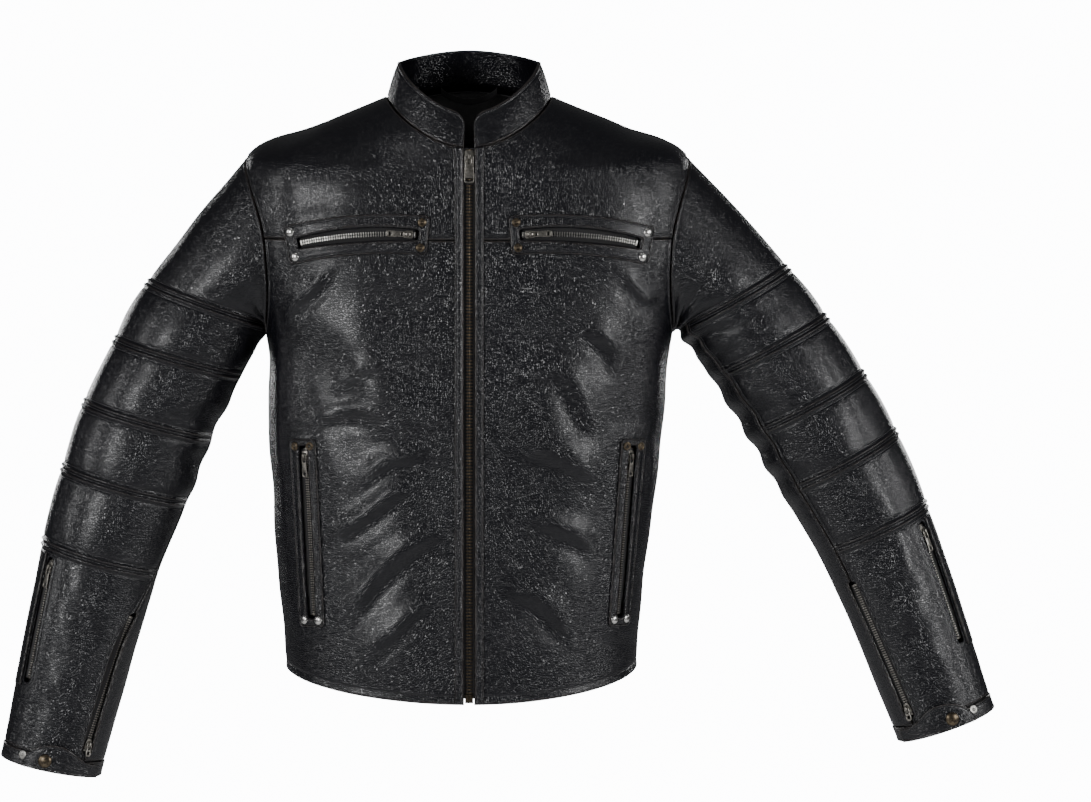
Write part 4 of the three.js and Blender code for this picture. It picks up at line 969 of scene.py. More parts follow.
def build_sleeve(sleeve):
    name, side = sleeve.name, sleeve.side
    skin = sleeve_skin(sleeve)
    near_ridges = [ridge + d / RIDGE_RUN for ridge in RIDGES for d in RIDGE_ROWS]
    near_mouths = [end + d / MOUTH_RUN for end in (*VENT_SPAN[name], *CUFF_SPAN[name]) for d in MOUTH_ROWS]
    extra = [*near_ridges, *near_mouths]
    rows = rows_between(sleeve.point, 0, CUFF_TOP - 0.01, SLEEVE_MIDDLE, SLEEVE_STEP, FINE, FINE, extra)
    seam = sleeve.seam(rows)
    mouth = opening(rows, CUFF_SPAN[name], sleeve, sleeve.seam, SEAM / 2)
    vent_turn = at_vent(rows)
    vent = opening(rows, VENT_SPAN[name], sleeve, at_vent, VENT_CLOSED)
    vent_open = np.clip((vent - VENT_CLOSED) / 3, 0, 1)
    front_gap = mouth / turn_size(sleeve, rows, seam)
    vent_gap = vent / turn_size(sleeve, rows, vent_turn)
    back = np.full(rows.shape, BACK_SEAM)
    back_gap = SEAM / 2 / turn_size(sleeve, rows, back)

    def group(first, last, step, fine=FINE):
        shares = spread(row_lengths(sleeve.point, rows, first, last), step, fine, fine)
        return first[:, None] + (last - first)[:, None] * shares

    before = group(seam + front_gap, vent_turn - vent_gap, SLEEVE_STEP)
    inside = group(vent_turn - vent_gap, vent_turn + vent_gap, VENT_STEP, (0,))
    after = group(vent_turn + vent_gap, back - back_gap, SLEEVE_STEP)
    b = np.hstack([before, inside[:, 1:-1], after])
    a = np.repeat(rows[:, None], b.shape[1], 1)
    base = sleeve.point(a, b)
    head, cuff, first, last = edge_distances(base)
    n_before = before.shape[1]
    n_after = n_before + inside.shape[1] - 2
    to_vent = np.full(base.shape[:2], 99.0)
    to_vent[:, :n_before] = first[:, n_before - 1:n_before] - first[:, :n_before]
    to_vent[:, n_after:] = first[:, n_after:] - first[:, n_after:n_after + 1]
    to_vent[:, n_before:n_after] = 0
    heights = np.minimum.reduce([rounded(d) for d in (head, cuff, first, last)])
    heights = heights + ridge_heights(rows, base) * np.clip(first / 9, 0, 1) ** 0.5
    for distance in (head, first, last):
        heights = heights + swelling(distance, STITCH_INSET, draw=0.6)
    vent_edge = rounded(to_vent) + swelling(to_vent, STITCH_INSET, 0.7, 0.5)
    heights = heights + vent_edge * vent_open[:, None]
    points = skin(a, b)
    normals = normals_on(skin, -side, a, b)
    top = points + normals * heights[..., None]
    keep = np.ones((a.shape[0] - 1, a.shape[1] - 1), bool)
    is_open = vent_open > 0.02
    keep[:, n_before - 1:n_after] = ~(is_open[:-1] & is_open[1:])[:, None]
    # Tint mask by the edges and on the ridges' crests: partly wear, partly a painted highlight along them.
    wear = mound(np.minimum.reduce([head, cuff, first, last]), 0.8, 1.1)
    for column in range(head.shape[1]):
        for mark in np.interp(RIDGES, rows, head[:, column]):
            off = np.abs(np.abs(head[:, column] - mark) - RIDGE_APART)
            wear[:, column] = np.maximum(wear[:, column], 0.8 * np.exp(-(off / 0.8) ** 2))
    panel = thick_sheet(f"top_sleeve_{name}_hide", top, points - normals * LEATHER, side > 0, keep, wear=wear)
    sewn(panel, "leather", f"top_sleeve_{name}")
    stitch_at(name, top, normals, first, STITCH_INSET, 1)
    stitch_at(name, top, normals, last, STITCH_INSET, 1)
    for ridge in RIDGES:
        for off in (-RIDGE_STITCH, 0, RIDGE_STITCH):
            line = np.full(a.shape[1], ridge + off / RIDGE_RUN)
            places = []
            for column in range(a.shape[1]):
                mark = np.interp(ridge, rows, head[:, column]) + off
                station = np.interp(mark, head[:, column], rows)
                places.append([np.interp(station, rows, top[:, column, k]) for k in range(3)])
            ways = normals_on(skin, -side, line, b[np.abs(rows - ridge).argmin()])
            stitch_along(name, np.array(places)[4:-4], ways[4:-4])
    for at_edge, part in ((n_before - 1, slice(0, n_before)), (n_after, slice(n_after, None))):
        places, ways = [], []
        for i in np.flatnonzero(vent_open > 0.3):
            reach, line = to_vent[i, part], top[i, part]
            order = np.argsort(reach)
            places.append([np.interp(STITCH_INSET, reach[order], line[order, k]) for k in range(3)])
            ways.append(normals[i, at_edge])
        stitch_along(name, np.array(places), np.array(ways))

    # The under panel runs on from the back seam to the front seam.
    b = group(back + back_gap, seam + TAU - front_gap, UNDER_STEP)
    a = np.repeat(rows[:, None], b.shape[1], 1)
    base = sleeve.point(a, b)
    distances = edge_distances(base)
    heights = np.minimum.reduce([rounded(d) for d in distances])
    for distance in (distances[0], distances[3]):
        heights = heights + swelling(distance, STITCH_INSET, draw=0.6)
    points = skin(a, b)
    normals = normals_on(skin, -side, a, b)
    top = points + normals * heights[..., None]
    # Tint mask by the edges: partly wear, partly a painted highlight along them.
    wear = mound(np.minimum.reduce(distances), 0.8, 1.1)
    panel = thick_sheet(f"under_sleeve_{name}_hide", top, points - normals * LEATHER, side > 0, wear=wear)
    sewn(panel, "leather", f"under_sleeve_{name}")
    stitch_at(name, top, normals, distances[3], STITCH_INSET, 1)


for sleeve in SLEEVES:
    build_sleeve(sleeve)

# ---- pocket frames -----------------------------------------------------------------------------------------
# A flat frame of leather is sewn round each pocket's mouth. Its outer edge is turned and beaded, its inner
# edge is rolled down to the zip, and the chest pockets' mouths are wider in the middle.
FRAME_FACE, FRAME_BACK = 2.1, 0.3
LIP_RADIUS, FRAME_STITCH = 2.4, 2.9
LIP_FINE, RIM_FINE = (0, 0.3, 0.7, 1.2, 1.8, 2.5, 3.3), (0, 0.3, 0.7, 1.1, 1.6, 2.2, 2.9, 3.6, 4.4)
CHEST_FRAME = {"half": 20.5, "margin": 15, "gape": 1.9, "recess": RECESS}
HAND_FRAME = {"half": 17, "margin": 12, "gape": 0.5, "recess": ROUND_RECESS}
CHEST_GUESS, HAND_GUESS = (PIT + 1, 0.6), (2, 1.1)


def round_rectangle(half, low, high, corner, pitch=1.6):
    """Points round a rectangle with round corners, as places across and along."""
    corners = ((half - corner, high - corner, 0), (corner - half, high - corner, 90),
               (corner - half, low + corner, 180), (half - corner, low + corner, 270))
    line = []
    for x, y, start in corners:
        for turn in np.radians(np.linspace(start, start + 90, 7)):
            line.append((x + corner * math.cos(turn), y + corner * math.sin(turn)))
    line = np.array([*line, line[0]])
    reach = np.concatenate([[0], np.cumsum(np.linalg.norm(np.diff(line, axis=0), axis=1))])
    wanted = np.linspace(0, reach[-1], int(reach[-1] / pitch) + 1)[:-1]
    return np.stack([np.interp(wanted, reach, line[:, k]) for k in (0, 1)], -1)


def faces_in(points, normals):
    """Whether a grid's cells face against its normals."""
    across = points[1:-1, 2:] - points[1:-1, :-2]
    down = points[2:, 1:-1] - points[:-2, 1:-1]
    return (np.cross(across, down) * normals[1:-1, 1:-1]).sum() < 0


def pocket_frame(name, side, path, guess, size):
    half, margin = size["half"], size["margin"]
    ends = (-margin, path.length + margin)
    outer = round_rectangle(half, *ends, 5)
    mouth = (-SLOT_HEAD, path.length + SLOT_HEAD / 2)
    share = (outer[:, 1] - ends[0]) / (ends[1] - ends[0])
    along = mouth[0] + share * (mouth[1] - mouth[0])
    gape = SLOT + size["gape"] * np.sin(math.pi * share)
    inner = np.stack([outer[:, 0] / half * gape, along], -1)
    width = np.linalg.norm(outer - inner, axis=1)
    shares = spread(width, 2.2, LIP_FINE, RIM_FINE).T
    flat = inner + (outer - inner) * shares[..., None]
    origin, x, _, z = path.at(flat[..., 1])
    wanted = origin + x * flat[..., :1] + z * size["recess"]
    shape = wanted.shape[:2]
    a, b = settle(form_point, wanted, np.full(shape, guess[0]), np.full(shape, side * guess[1]))
    points, normals = body_skin(a, b), normals_on(body_skin, 1, a, b)
    from_lip, from_rim = width * shares, width * (1 - shares)
    bead = 0.75 * mound(from_rim, 1.1, 0.75) - 0.55 * mound(from_rim, FRAME_STITCH, 0.7)
    face = FRAME_FACE + rounded(from_lip, LIP_RADIUS) + rounded(from_rim, 1.1) + bead
    face = face + 0.5 * mound(from_lip, 3.2, 1.4)
    back = np.minimum(FRAME_BACK, face - 1.0)
    top, bottom = points + normals * face[..., None], points + normals * back[..., None]
    # Tint mask by the rim and the rolled lip: partly wear, partly a painted highlight.
    wear = mound(from_rim, 1.0, 0.8) + 0.7 * mound(from_lip, 2.2, 1.0)
    frame_piece = thick_sheet(name + "_frame", top, bottom, faces_in(top, normals), wrap=True, wear=wear)
    sewn(frame_piece, "leather", name + "_welt")
    places, ways = [], []
    for k in range(outer.shape[0]):
        reach = from_rim[::-1, k]
        places.append([np.interp(FRAME_STITCH, reach, top[::-1, k, axis]) for axis in range(3)])
        ways.append(normals[-4, k])
    stitch_along("body", np.array(places), np.array(ways), True)


for name, side in SIDES.items():
    pocket_frame("chest_" + name, side, CHEST[name], CHEST_GUESS, CHEST_FRAME)
    pocket_frame("hand_" + name, side, HAND[name], HAND_GUESS, HAND_FRAME)

# ---- vent welts --------------------------------------------------------------------------------------------
# A strip of leather lies along the inner edge of each sleeve vent, with a bead at both of its edges.
VENT_WELT, VENT_MARGIN = 13, 8
WELT_FINE, WELT_STITCH = (0, 0.3, 0.8, 1.4, 2.1, 3), 2.8
for sleeve in SLEEVES:
    name, path, side = sleeve.name, VENT[sleeve.name], sleeve.side
    across = SLOT + 0.4 + spread(VENT_WELT, 1.6, WELT_FINE, WELT_FINE)[0] * VENT_WELT
    along = spread(path.length + 2 * VENT_MARGIN, 2.5, (0, 0.3, 0.8, 1.5), (0, 0.3, 0.8, 1.5))[0]
    along = -VENT_MARGIN + along * (path.length + 2 * VENT_MARGIN)
    along, across = np.meshgrid(along, across, indexing="ij")
    origin, x, _, z = path.at(along)
    wanted = origin + x * (side * across)[..., None] + z * ROUND_RECESS
    a, b = settle(sleeve.point, wanted, np.full(across.shape, 6.0), np.full(across.shape, VENT_TURN))
    skin = sleeve_skin(sleeve)
    points, normals = skin(a, b), normals_on(skin, -side, a, b)
    distances = edge_distances(points)
    first, last = distances[2:]
    beads = sum(0.8 * mound(d, 1.1, 0.8) - 0.4 * mound(d, WELT_STITCH, 0.7) for d in (first, last))
    lift = FRAME_FACE + np.minimum.reduce([rounded(d, 1.0) for d in distances]) + beads
    top = points + normals * lift[..., None]
    # Tint mask by both beads: partly wear, partly a painted highlight.
    wear = sum(mound(d, 1.0, 0.8) for d in (first, last))
    back = points + normals * FRAME_BACK
    piece = thick_sheet(f"vent_{name}_lip", top, back, faces_in(top, normals), wear=wear)
    sewn(piece, "leather", f"vent_welt_{name}")
    for distance in (first, last):
        stitch_at(name, top, normals, distance, WELT_STITCH, 1)

# ---- front edges -------------------------------------------------------------------------------------------
# A narrow strip of leather is sewn along each front edge beside the zip, folded over at its inner lip.
STRIP_WIDTH, STRIP_GAP, STRIP_STITCH = 9.3, 0.5, 2.4
STRIP_LIP, STRIP_RIM = (0, 0.25, 0.6, 1.1, 1.7, 2.4), (0, 0.25, 0.6, 1.1, 1.7, 2.4, 3)
for name, side in SIDES.items():
    levels = rows_between(form_point, 0.02, NECK - 0.03, 0, 3, (0, 0.4, 1, 2), (0, 0.4, 1, 2))
    shares = spread(STRIP_WIDTH, 1.2, STRIP_LIP, STRIP_RIM)[0]
    a, share = np.meshgrid(levels, shares, indexing="ij")
    flare = 1 + 0.25 * np.clip(a - 7, 0, 1)
    b = angle_across(a, side * (PLACKET_GAP + STRIP_GAP + STRIP_WIDTH * share * flare))
    points, normals = body_skin(a, b), normals_on(body_skin, 1, a, b)
    distances = edge_distances(points)
    lip, outer = distances[2:]
    yoke_step = 0.7 * mound(distances[0], np.interp(YOKE, levels, distances[0][:, 0]), 2.2)
    lift = FRAME_FACE + np.minimum.reduce([rounded(d, 1.0) for d in distances]) + yoke_step
    lift = lift + 0.7 * mound(lip, 1.4, 1.1) - 0.5 * mound(outer, STRIP_STITCH, 0.7)
    top = points + normals * lift[..., None]
    # Tint mask on the lip and by the outer edge: partly wear, partly a painted highlight.
    wear = mound(lip, 1, 0.9) + 0.5 * mound(outer, 0.8, 0.8)
    back = points + normals * FRAME_BACK
    piece = thick_sheet(f"placket_{name}", top, back, faces_in(top, normals), wear=wear)
    sewn(piece, "leather", f"placket_strip_{name}")
    stitch_at("body", top, normals, outer, STRIP_STITCH, 1)

# ---- collar ------------------------------------------------------------------------------------------------
# The collar is a stiffened band of two layers of leather. It stands on the neck seam, leans in, and its
# front corners are round. Inside, its facing runs a little way below the seam.
COLLAR_HEIGHT, COLLAR_WALL, COLLAR_CORNER, COLLAR_LEAN = 38, 3, 14, math.radians(18)
COLLAR_BASE = 0.6
COLLAR_FINE = (*FINE, 13, 14.5)
NECK_FACING = 6
NECK_RING = float(NECK)


def collar_grid():
    start = float(angle_across(np.array(NECK_RING), PLACKET_GAP))
    turns = np.linspace(0, 1, 4000)
    line = form_point(NECK_RING, start + (TAU - 2 * start) * turns)
    reach = np.concatenate([[0], np.cumsum(np.linalg.norm(np.diff(line, axis=0), axis=1))])
    shares = spread(reach[-1], 2.8, COLLAR_FINE, COLLAR_FINE)[0]
    angle = start + (TAU - 2 * start) * np.interp(shares * reach[-1], reach, turns)
    base = form_point(NECK_RING, angle)
    out = base * np.array([1, 1, 0]) + np.array([0, 14, 0])
    out = out / np.linalg.norm(out, axis=-1, keepdims=True)
    ends = form_point(NECK_RING, np.array([start, -start]))
    from_front = np.linalg.norm(base[:, None] - ends, axis=-1).min(1)
    bite = np.clip(COLLAR_CORNER - from_front, 0, COLLAR_CORNER)
    height = COLLAR_HEIGHT - COLLAR_CORNER + np.sqrt(COLLAR_CORNER ** 2 - bite ** 2)
    rows = spread(COLLAR_HEIGHT, 2.2, FINE[:9], FINE[:9])[0]
    up = np.array([0, 0, 1.0])
    rise = up * math.cos(COLLAR_LEAN) - out * math.sin(COLLAR_LEAN)
    normal = out * math.cos(COLLAR_LEAN) + up * math.sin(COLLAR_LEAN)
    points = base + rise * (COLLAR_BASE + height * rows[:, None])[..., None]
    return points, np.broadcast_to(normal, points.shape)


points, normals = collar_grid()
distances = edge_distances(points)
edge = np.minimum.reduce([rounded(d, 1.4) for d in distances])
stitched = sum(swelling(d, STITCH_INSET, 0.25, 0.55) for d in distances[1:])
puff = 0.7 * np.sin(math.pi * np.clip(distances[0] / COLLAR_HEIGHT, 0, 1))
top = points + normals * (edge + stitched + puff)[..., None]
inside = points - normals * (COLLAR_WALL + edge - 0.3 * puff)[..., None]
inside[0] -= (0, 0, NECK_FACING)
# Tint mask by the edges: partly wear, partly a painted highlight along them.
wear = mound(np.minimum.reduce(distances), 0.8, 1.2)
sewn(thick_sheet("collar_band", top, inside, faces_in(top, normals), wear=wear), "leather", "collar")
for k, axis in ((1, 0), (2, 1), (3, 1)):
    stitch_at("body", top, normals, distances[k], STITCH_INSET, axis)

# ---- metal finishes ----------------------------------------------------------------------------------------
# Zips, rivets and snaps are brass under different plates: dark antique brass down the front and on the snaps,
# gunmetal on the light zips, sliders and pulls, nickel on the far rivets, and dull nickel on the chest zips
# and studs. Plating is rubbed in use.
PLATES = {
    # the plate's colour, its colour where it is rubbed, and its roughness
    "gunmetal": ((0.16, 0.15, 0.135, 1), (0.42, 0.40, 0.36, 1), 0.30),
    "antique_brass": ((0.045, 0.037, 0.029, 1), (0.17, 0.135, 0.09, 1), 0.33),
    "nickel_plate": ((0.52, 0.51, 0.49, 1), (0.72, 0.71, 0.69, 1), 0.22),
    "dull_nickel": ((0.20, 0.195, 0.185, 1), (0.50, 0.49, 0.46, 1), 0.34),
}


def plated(name):
    colour, rubbed, roughness = PLATES[name]

    def finish(tree):
        patches = ramp(tree, noise(tree, 420, 4, 0.6), (0.38, 0.0), (0.66, 1.0))
        scratches = noise(tree, 2600, 2)
        return {
            "Base Color": mixed(tree, patches, colour, rubbed),
            "Roughness": roughness + scratches * 0.14 - patches * 0.08,
            "Normal": bump(tree, scratches, 0.12, 0.0001),
        }

    return new_material(name, finish, Metallic=1.0)


gunmetal, antique, nickel, dull_nickel = (plated(name) for name in PLATES)

# ---- zip tapes and teeth -----------------------------------------------------------------------------------
# Each tape is woven cotton with a corded edge, and the metal teeth are clamped on the cord. The two rows of
# teeth mesh, and a stop closes them at each end.
def tape_finish(tree):
    along = node(tree, "ShaderNodeTexWave", {"wave_type": "BANDS", "bands_direction": "DIAGONAL"},
                 {"Vector": placed_on(tree), "Scale": 520, "Distortion": 0.6, "Detail": 1})
    fibres = noise(tree, 1900, 3)
    return {
        "Base Color": mixed(tree, fibres, (0.006, 0.006, 0.007, 1), (0.020, 0.019, 0.020, 1)),
        "Roughness": 0.82 + fibres * 0.15,
        "Normal": bump(tree, along + fibres * 0.6, 0.5, 0.0002),
    }


tape = new_material("zip_tape", tape_finish, **{"Sheen Weight": 0.15})


def swept(path, distances, section):
    """A closed bar through rings of a section's corners, as points and faces."""
    origin, x, _, z = path.at(np.asarray(distances, float))
    section = np.array(section, float)
    rings = origin[:, None] + x[:, None] * section[:, :1] + z[:, None] * section[:, 1:]
    n = len(section)
    faces = [(i * n + j, i * n + (j + 1) % n, (i + 1) * n + (j + 1) % n, (i + 1) * n + j)
             for i in range(len(distances) - 1) for j in range(n)]
    caps = [tuple(range(n))[::-1], tuple((len(distances) - 1) * n + j for j in range(n))]
    return rings.reshape(-1, 3), [*faces, *caps]


def gathered(parts):
    """Several lots of points and faces as one."""
    points, faces, offset = [], [], 0
    for some, more in parts:
        points.append(np.asarray(some, float))
        faces += [tuple(k + offset for k in f) for f in more]
        offset += len(some)
    return np.concatenate(points), faces


def facing_out(piece):
    shape = bmesh.new()
    shape.from_mesh(piece.data)
    bmesh.ops.recalc_face_normals(shape, faces=shape.faces)
    shape.to_mesh(piece.data)
    shape.free()
    return piece


def bevelled(piece, width, segments=2):
    shape = bmesh.new()
    shape.from_mesh(piece.data)
    bmesh.ops.remove_doubles(shape, verts=shape.verts, dist=1e-6)
    bmesh.ops.recalc_face_normals(shape, faces=shape.faces)
    sharp = [e for e in shape.edges if len(e.link_faces) == 2 and e.calc_face_angle() > math.radians(28)]
    bmesh.ops.bevel(shape, geom=sharp, offset=width * MM, segments=segments, profile=0.6, affect="EDGES")
    shape.to_mesh(piece.data)
    shape.free()
    return piece


def row_tree():
    """Geometry Nodes that set copies of a shape along a line, at a pitch, with their z out of the leather."""
    tree = bpy.data.node_groups.new("row_along_a_line", "GeometryNodeTree")
    sockets = (("Line", "NodeSocketGeometry"), ("Shape", "NodeSocketObject"), ("Pitch", "NodeSocketFloat"),
               ("Finish", "NodeSocketMaterial"))
    for label, kind in sockets:
        tree.interface.new_socket(label, in_out="INPUT", socket_type=kind)
    tree.interface.new_socket("Row", in_out="OUTPUT", socket_type="NodeSocketGeometry")
    given = tree.nodes.new("NodeGroupInput")
    line, shape, pitch, paint = (Wire(tree, given.outputs[label]) for label, _ in sockets)
    curve = node(tree, "GeometryNodeMeshToCurve", {}, {"Mesh": line})
    places = node(tree, "GeometryNodeResampleCurve", {"mode": "LENGTH"}, {"Curve": curve, "Length": pitch})
    out = node(tree, "GeometryNodeInputNamedAttribute", {"data_type": "FLOAT_VECTOR"}, {"Name": "out"})
    tangent = node(tree, "GeometryNodeInputTangent", {}, {})
    turn = node(tree, "FunctionNodeAxesToRotation", {"primary_axis": "Y", "secondary_axis": "Z"},
                {"Primary Axis": tangent, "Secondary Axis": out})
    copy = node(tree, "GeometryNodeObjectInfo", {}, {"Object": shape}, "Geometry")
    values = {"Points": places, "Instance": copy, "Rotation": turn}
    row = node(tree, "GeometryNodeInstanceOnPoints", {}, values)
    solid = node(tree, "GeometryNodeRealizeInstances", {}, {"Geometry": row})
    done = node(tree, "GeometryNodeSetMaterial", {}, {"Geometry": solid, "Material": paint})
    tree.links.new(done.socket, tree.nodes.new("NodeGroupOutput").inputs["Row"])
    return tree


ROW = row_tree()


def row_of(name, lines, shape, pitch, material):
    """A mesh of copies of a shape along lines. A line is points, directions out, and whether it closes."""
    mesh = bpy.data.meshes.new(name)
    points = np.concatenate([p for p, _, _ in lines]) * MM
    edges, start = [], 0
    for some, _, closed in lines:
        edges += [(start + i, start + i + 1) for i in range(len(some) - 1)]
        if closed:
            edges.append((start + len(some) - 1, start))
        start += len(some)
    mesh.from_pydata(points, edges, [])
    outs = np.concatenate([np.broadcast_to(o, p.shape) for p, o, _ in lines]).ravel()
    mesh.attributes.new("out", "FLOAT_VECTOR", "POINT").data.foreach_set("vector", outs.astype(np.float32))
    carrier = bpy.data.objects.new(name, mesh)
    bpy.context.collection.objects.link(carrier)
    modifier = carrier.modifiers.new("row", "NODES")
    modifier.node_group = ROW
    values = {"Shape": shape, "Pitch": pitch * MM, "Finish": material}
    for item in ROW.interface.items_tree:
        if item.in_out == "INPUT" and item.name in values:
            modifier[item.identifier] = values[item.name]
    shown = carrier.evaluated_get(bpy.context.evaluated_depsgraph_get())
    result = bpy.data.meshes.new_from_object(shown)
    carrier.modifiers.remove(modifier)
    carrier.data = result
    return carrier


def tooth_shape(name, size):
    """One tooth: two clamped legs round the cord, and a narrower nose that reaches past the middle."""
    long, high = size["pitch"] * 0.46 / 2, size["thick"]
    tip = size["tooth"]
    rows = ((-0.95, 0.55, 0.62), (0.2, 0.9, 0.9), (1.1, 1, 1), (tip - 0.4, 1, 0.95), (tip, 0.8, 0.75))
    points = [(x, sy * long * wide, sz * high * tall) for x, wide, tall in rows
              for sy, sz in ((-1, -1), (1, -1), (1, 1), (-1, 1))]
    faces = [(4 * i + j, 4 * i + (j + 1) % 4, 4 * i + 4 + (j + 1) % 4, 4 * i + 4 + j)
             for i in range(len(rows) - 1) for j in range(4)]
    faces += [(3, 2, 1, 0), (16, 17, 18, 19)]
    piece = mesh_object(name, points, faces, gunmetal, smooth=False)
    return facing_out(piece)


def joined_mesh(name, pieces):
    """Several objects as one object with all their finishes."""
    with bpy.context.temp_override(active_object=pieces[0], selected_editable_objects=pieces):
        bpy.ops.object.join()
    pieces[0].name = name
    return pieces[0]


def tape_bar(path, size, side, start, end):
    """One side's tape, with a cord along its inner edge."""
    fall, wide = size["droop"], size["tape"]
    section = [(0.75, -0.35), (0.95, -0.8), (1.7, -0.95), (2.5, -0.7), (3.0, -0.4), (wide, -0.4 - fall),
               (wide, 0.35 - fall), (3.0, 0.4), (2.5, 0.7), (1.7, 0.95), (0.95, 0.8), (0.75, 0.35)]
    count = 24 if path.arc else 2
    return swept(path, np.linspace(start, end, count), [(side * x, z) for x, z in section])


def tooth_line(path, side, start, end):
    """The line that one side's teeth stand on. The two sides run opposite ways, so their teeth face in."""
    t = np.linspace(end - 0.4, start + 0.4, 60)
    origin, _, _, z = path.at(t[::side])
    return origin, z, False


def build_zip(name, path, size, metal, nodes):
    """A closed zip: tapes, rows of teeth and stops, as one piece for each CAD node and the sides it holds."""
    tooth = tooth_shape("tooth", size)
    for node_name, sides in nodes:
        bars = gathered([tape_bar(path, size, s, -1.5, path.length) for s in sides])
        lines = [tooth_line(path, s, 0.3, path.length - 0.8) for s in sides]
        teeth = row_of("teeth", lines, tooth, size["pitch"], metal)
        pieces = [facing_out(mesh_object("tape", *bars, tape)), teeth]
        if len(sides) == 2:
            reach, high = size["tooth"] + 0.3, size["thick"] + 0.1
            block = [(-reach, -high), (reach, -high), (reach, high), (-reach, high)]
            blocks = ((-2.2, -0.4), (path.length - 2, path.length + 0.2))
            stops = gathered([swept(path, ends, block) for ends in blocks])
            pieces.append(bevelled(mesh_object("stops", *stops, metal), 0.35))
        sewn(joined_mesh(node_name + "_chain", pieces), "gunmetal", node_name)
    bpy.data.objects.remove(tooth)


for name in SIDES:
    build_zip("chest", CHEST[name], LIGHT, dull_nickel, [(f"chest_{name}_zip", (-1, 1))])
    build_zip("hand", HAND[name], LIGHT, gunmetal, [(f"hand_{name}_zip", (-1, 1))])
    build_zip("cuff", CUFF[name], SHORT, gunmetal, [(f"cuff_zip_{name}", (-1, 1))])
    build_zip("vent", VENT[name], LIGHT, gunmetal, [(f"vent_zip_{name}", (-1, 1))])
build_zip("front", MAIN, HEAVY, antique, [("main_tape_right", (-1,)), ("main_tape_left", (1,))])

# ---- sliders, pulls and the front zip's box ----------------------------------------------------------------
# Each slider is two cast plates joined by a web, with a bridge over the top plate. The pull is a stamped tab
# on the bridge: an eye at its bar, a slot near its end, and a slight waist.


def smooth_loop(corners, per_side=6):
    """A round closed outline near some corners."""
    corners = np.array(corners, float)
    line = []
    for i in range(len(corners)):
        a, b, c, d = (corners[(i + k) % len(corners)] for k in (-1, 0, 1, 2))
        for f in np.linspace(0, 1, per_side, endpoint=False):
            line.append(b + 0.5 * f * (c - a + f * (2 * a - 5 * b + 4 * c - d + f * (3 * (b - c) + d - a))))
    return np.array(line)


def plate_between(outline, low, high):
    """A flat plate of an outline between two heights."""
    n = len(outline)
    points = [(x, y, z) for z in (low, high) for x, y in outline]
    faces = [(i, (i + 1) % n, n + (i + 1) % n, n + i) for i in range(n)]
    return points, [*faces, tuple(range(n))[::-1], tuple(n + i for i in range(n))]


def holed_plate(outline, holes, low, high):
    """A flat plate of an outline with holes, filled between its loops."""
    shape = bmesh.new()
    loops = []
    for loop in (outline, *holes):
        ring = [shape.verts.new((x, y, low)) for x, y in loop]
        loops += [shape.edges.new((ring[i], ring[(i + 1) % len(ring)])) for i in range(len(ring))]
    bmesh.ops.triangle_fill(shape, edges=loops, use_beauty=True)
    grown = bmesh.ops.extrude_face_region(shape, geom=list(shape.faces))
    moved = [v for v in grown["geom"] if isinstance(v, bmesh.types.BMVert)]
    bmesh.ops.translate(shape, verts=moved, vec=(0, 0, high - low))
    bmesh.ops.recalc_face_normals(shape, faces=shape.faces)
    shape.verts.index_update()
    points = [tuple(v.co) for v in shape.verts]
    faces = [tuple(v.index for v in f.verts) for f in shape.faces]
    shape.free()
    return points, faces


def both_halves(half):
    """An outline's corners, from those of its right half."""
    return np.array([*half, *((-x, y) for x, y in half[::-1])])


def slider_parts(size):
    """A slider's plates and web, and its bridge, in its own axes."""
    wide, long, inner = size["width"] / 2, size["length"] / 2, size["thick"] + SLIP
    face = inner + size["plate"]
    half = [(0.62, -1), (0.92, -0.35), (1, 0.35), (0.93, 0.92), (0.3, 1)]
    outline = smooth_loop(both_halves(half) * (wide, long), 4)
    plates = [plate_between(outline, inner, face), plate_between(outline, -face, -inner)]
    web = [(-0.25, -long * 0.4), (0.25, -long * 0.4), (0.25, long * 0.75), (-0.25, long * 0.75)]
    plates.append(plate_between(web, -inner - 0.1, inner + 0.1))
    rise = size["window"] + 1.1
    turns = np.linspace(0, math.pi, 13)
    crown, opening_rise = (np.minimum(1, steep * np.sin(turns)) for steep in (1.25, 1.3))
    outer = np.stack([-3.4 * np.cos(turns), face - 0.3 + rise * crown + 0.3 * np.sin(turns)], -1)
    window = np.stack([-2.0 * np.cos(turns), face + 0.15 + (size["window"] - 0.2) * opening_rise], -1)
    n = len(turns)
    points = [(x, y, z) for x in (-1.2, 1.2) for y, z in (*outer, *window)]
    faces = []
    for side in (0, 2 * n):
        faces += [(side + i, side + i + 1, side + n + i + 1, side + n + i) for i in range(n - 1)]
    for ring in (0, n):
        faces += [(ring + i, ring + i + 1, 2 * n + ring + i + 1, 2 * n + ring + i) for i in range(n - 1)]
    for i in (0, n - 1):
        faces.append((i, n + i, 3 * n + i, 2 * n + i))
    return plates, (points, faces)


def pull_shape(size):
    wide, long, thick = size["pull"][0] / 2, size["pull"][1], size["pull"][2]
    waist, swell = -long * 0.35, -long * 0.75
    half = [(0.72, 0.75), (0.9, -1.2), (0.82, waist), (0.97, swell), (0.86, 0.9 - long), (0.4, -long)]
    outline = smooth_loop(both_halves(half) * (wide, 1), 4)
    eye_end = min(6.8, long * 0.42)
    eye = [(-1.75, -0.8), (1.75, -0.8), (1.75, -eye_end), (-1.75, -eye_end)]
    slot_half = wide - 1.7
    slot = [(-slot_half, 5 - long), (slot_half, 5 - long), (slot_half, 1.9 - long), (-slot_half, 1.9 - long)]
    holes = [smooth_loop(hole, 3)[::-1] for hole in (eye, slot)]
    return holed_plate(outline, holes, -thick / 2, thick / 2)


